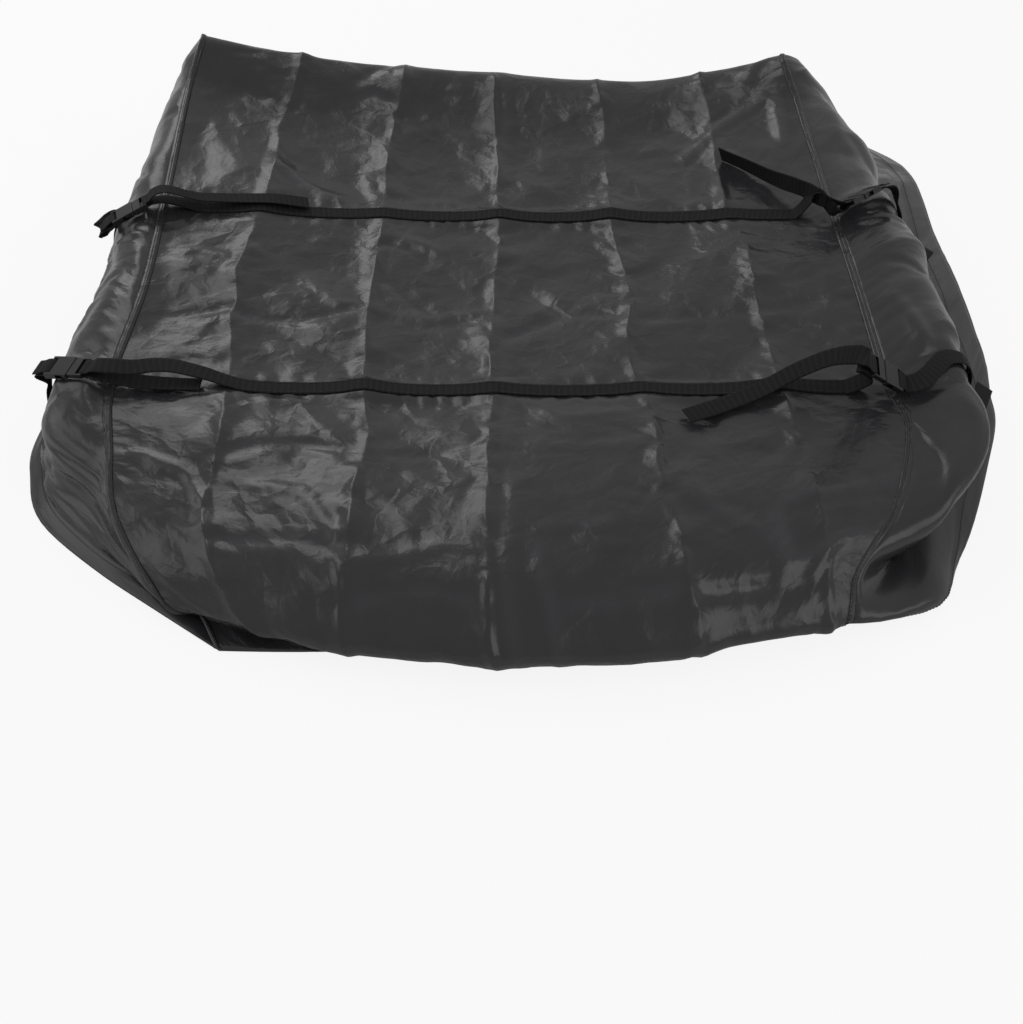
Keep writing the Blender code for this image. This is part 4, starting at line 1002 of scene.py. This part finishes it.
def finish_buckles():
    for corner in BUCKLES:
        for piece in ("socket", "plug"):
            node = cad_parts[f"{corner}_buckle_{piece}"]
            node.data.materials.clear()
            node.data.materials.append(BUCKLE_FINISH)


# The room: a pale floor, soft lamps and the camera.

def white_floor():
    """White paper that takes soft shadows and looks nearly as bright as the room behind it."""
    material = bpy.data.materials.new("white floor")
    material.use_nodes = True
    tree = material.node_tree
    tree.nodes.clear()
    paint = add_node(tree, "BsdfDiffuse", {"Color": linear("#f4f4f4")})
    white = add_node(tree, "Emission", {"Color": linear("#ffffff"), "Strength": 1.0})
    path = add_node(tree, "LightPath")
    seen = add_node(tree, "Math", {0: path.outputs["Is Camera Ray"], 1: 0.88}, operation="MULTIPLY")
    mixed = add_node(tree, "MixShader", {0: seen.outputs[0], 1: paint.outputs[0], 2: white.outputs[0]})
    add_node(tree, "OutputMaterial", {"Surface": mixed.outputs[0]})
    return material


def make_floor():
    bpy.ops.mesh.primitive_plane_add(size=80, location=(0, 0, -0.0012))
    floor = bpy.context.object
    floor.name = "floor"
    floor.data.materials.append(white_floor())


def make_world():
    world = bpy.data.worlds.new("room")
    bpy.context.scene.world = world
    world.use_nodes = True
    tree = world.node_tree
    tree.nodes.clear()
    path = add_node(tree, "LightPath")
    lit = add_node(tree, "Background", {"Color": linear("#ffffff"), "Strength": 0.46})
    seen = add_node(tree, "Background", {"Color": linear("#ffffff"), "Strength": 1.0})
    camera_ray = path.outputs["Is Camera Ray"]
    mixed = add_node(tree, "MixShader", {0: camera_ray, 1: lit.outputs[0], 2: seen.outputs[0]})
    add_node(tree, "OutputWorld", {"Surface": mixed.outputs[0]})


# Each lamp's name, place, aim, size and watts.
LAMPS = [
    ("window", (-1.3, 2.25, 1.9), (0, 0, 0.1), (1.4, 0.95), 9),
    ("high window", (-0.92, 1.18, 2.4), (0, -0.2, 0.1), (0.95, 0.95), 4.8),
    ("right softbox", (2.4, -1.5, 1.9), (0, 0, 0.1), (2.0, 2.0), 14),
    ("key softbox", (-2.7, -0.1, 1.6), (0, 0, 0.1), (2.2, 1.7), 10),
]

# The camera: its lens as a focal length in pixels of the picture, its height and its tilt down in degrees.
SENSOR_WIDTH = 36.0
FOCAL_PIXELS = 1300
PICTURE_PIXELS = 1024
CAMERA_ASIDE, CAMERA_BACK, CAMERA_HEIGHT = 0.02, -1.71, 1.10
CAMERA_TILT = 41.5


def softbox(name, place, aim, size, watts):
    lamp = bpy.data.lights.new(name, "AREA")
    lamp.shape = "RECTANGLE"
    lamp.size, lamp.size_y = size
    lamp.energy = watts
    obj = bpy.data.objects.new(name, lamp)
    obj.location = place
    obj.rotation_euler = (Vector(aim) - Vector(place)).to_track_quat("-Z", "Y").to_euler()
    bpy.context.scene.collection.objects.link(obj)


def make_camera():
    lens = bpy.data.cameras.new("camera")
    lens.sensor_width = SENSOR_WIDTH
    lens.lens = SENSOR_WIDTH * FOCAL_PIXELS / PICTURE_PIXELS
    camera = bpy.data.objects.new("camera", lens)
    camera.location = (CAMERA_ASIDE + ORIGIN[0], CAMERA_BACK + ORIGIN[1], CAMERA_HEIGHT)
    camera.rotation_euler = (math.radians(90 - CAMERA_TILT), 0.0, 0.0)
    bpy.context.scene.collection.objects.link(camera)
    bpy.context.scene.camera = camera


centre = make_centre_panel()
left_wall = make_side_panel("left_side", LEFT)
right_wall = make_side_panel("right_side", RIGHT)
make_binding("left", LEFT, centre, left_wall)
make_binding("right", RIGHT, centre, right_wall)
hem_stitches("left_hem_stitches", left_wall)
hem_stitches("right_hem_stitches", right_wall)
make_strap("rear", centre, REAR_STRAP)
make_strap("front", centre, FRONT_STRAP)
for corner, cloth, s in (
    ("rear_left", left_wall, REAR_STRAP), ("rear_right", right_wall, REAR_STRAP),
    ("front_left", left_wall, FRONT_STRAP), ("front_right", right_wall, FRONT_STRAP),
):
    make_wall_strap(corner, cloth, s)
finish_buckles()
make_floor()
make_world()
for lamp in LAMPS:
    softbox(*lamp)
make_camera()
bpy.context.scene.view_settings.view_transform = "Standard"
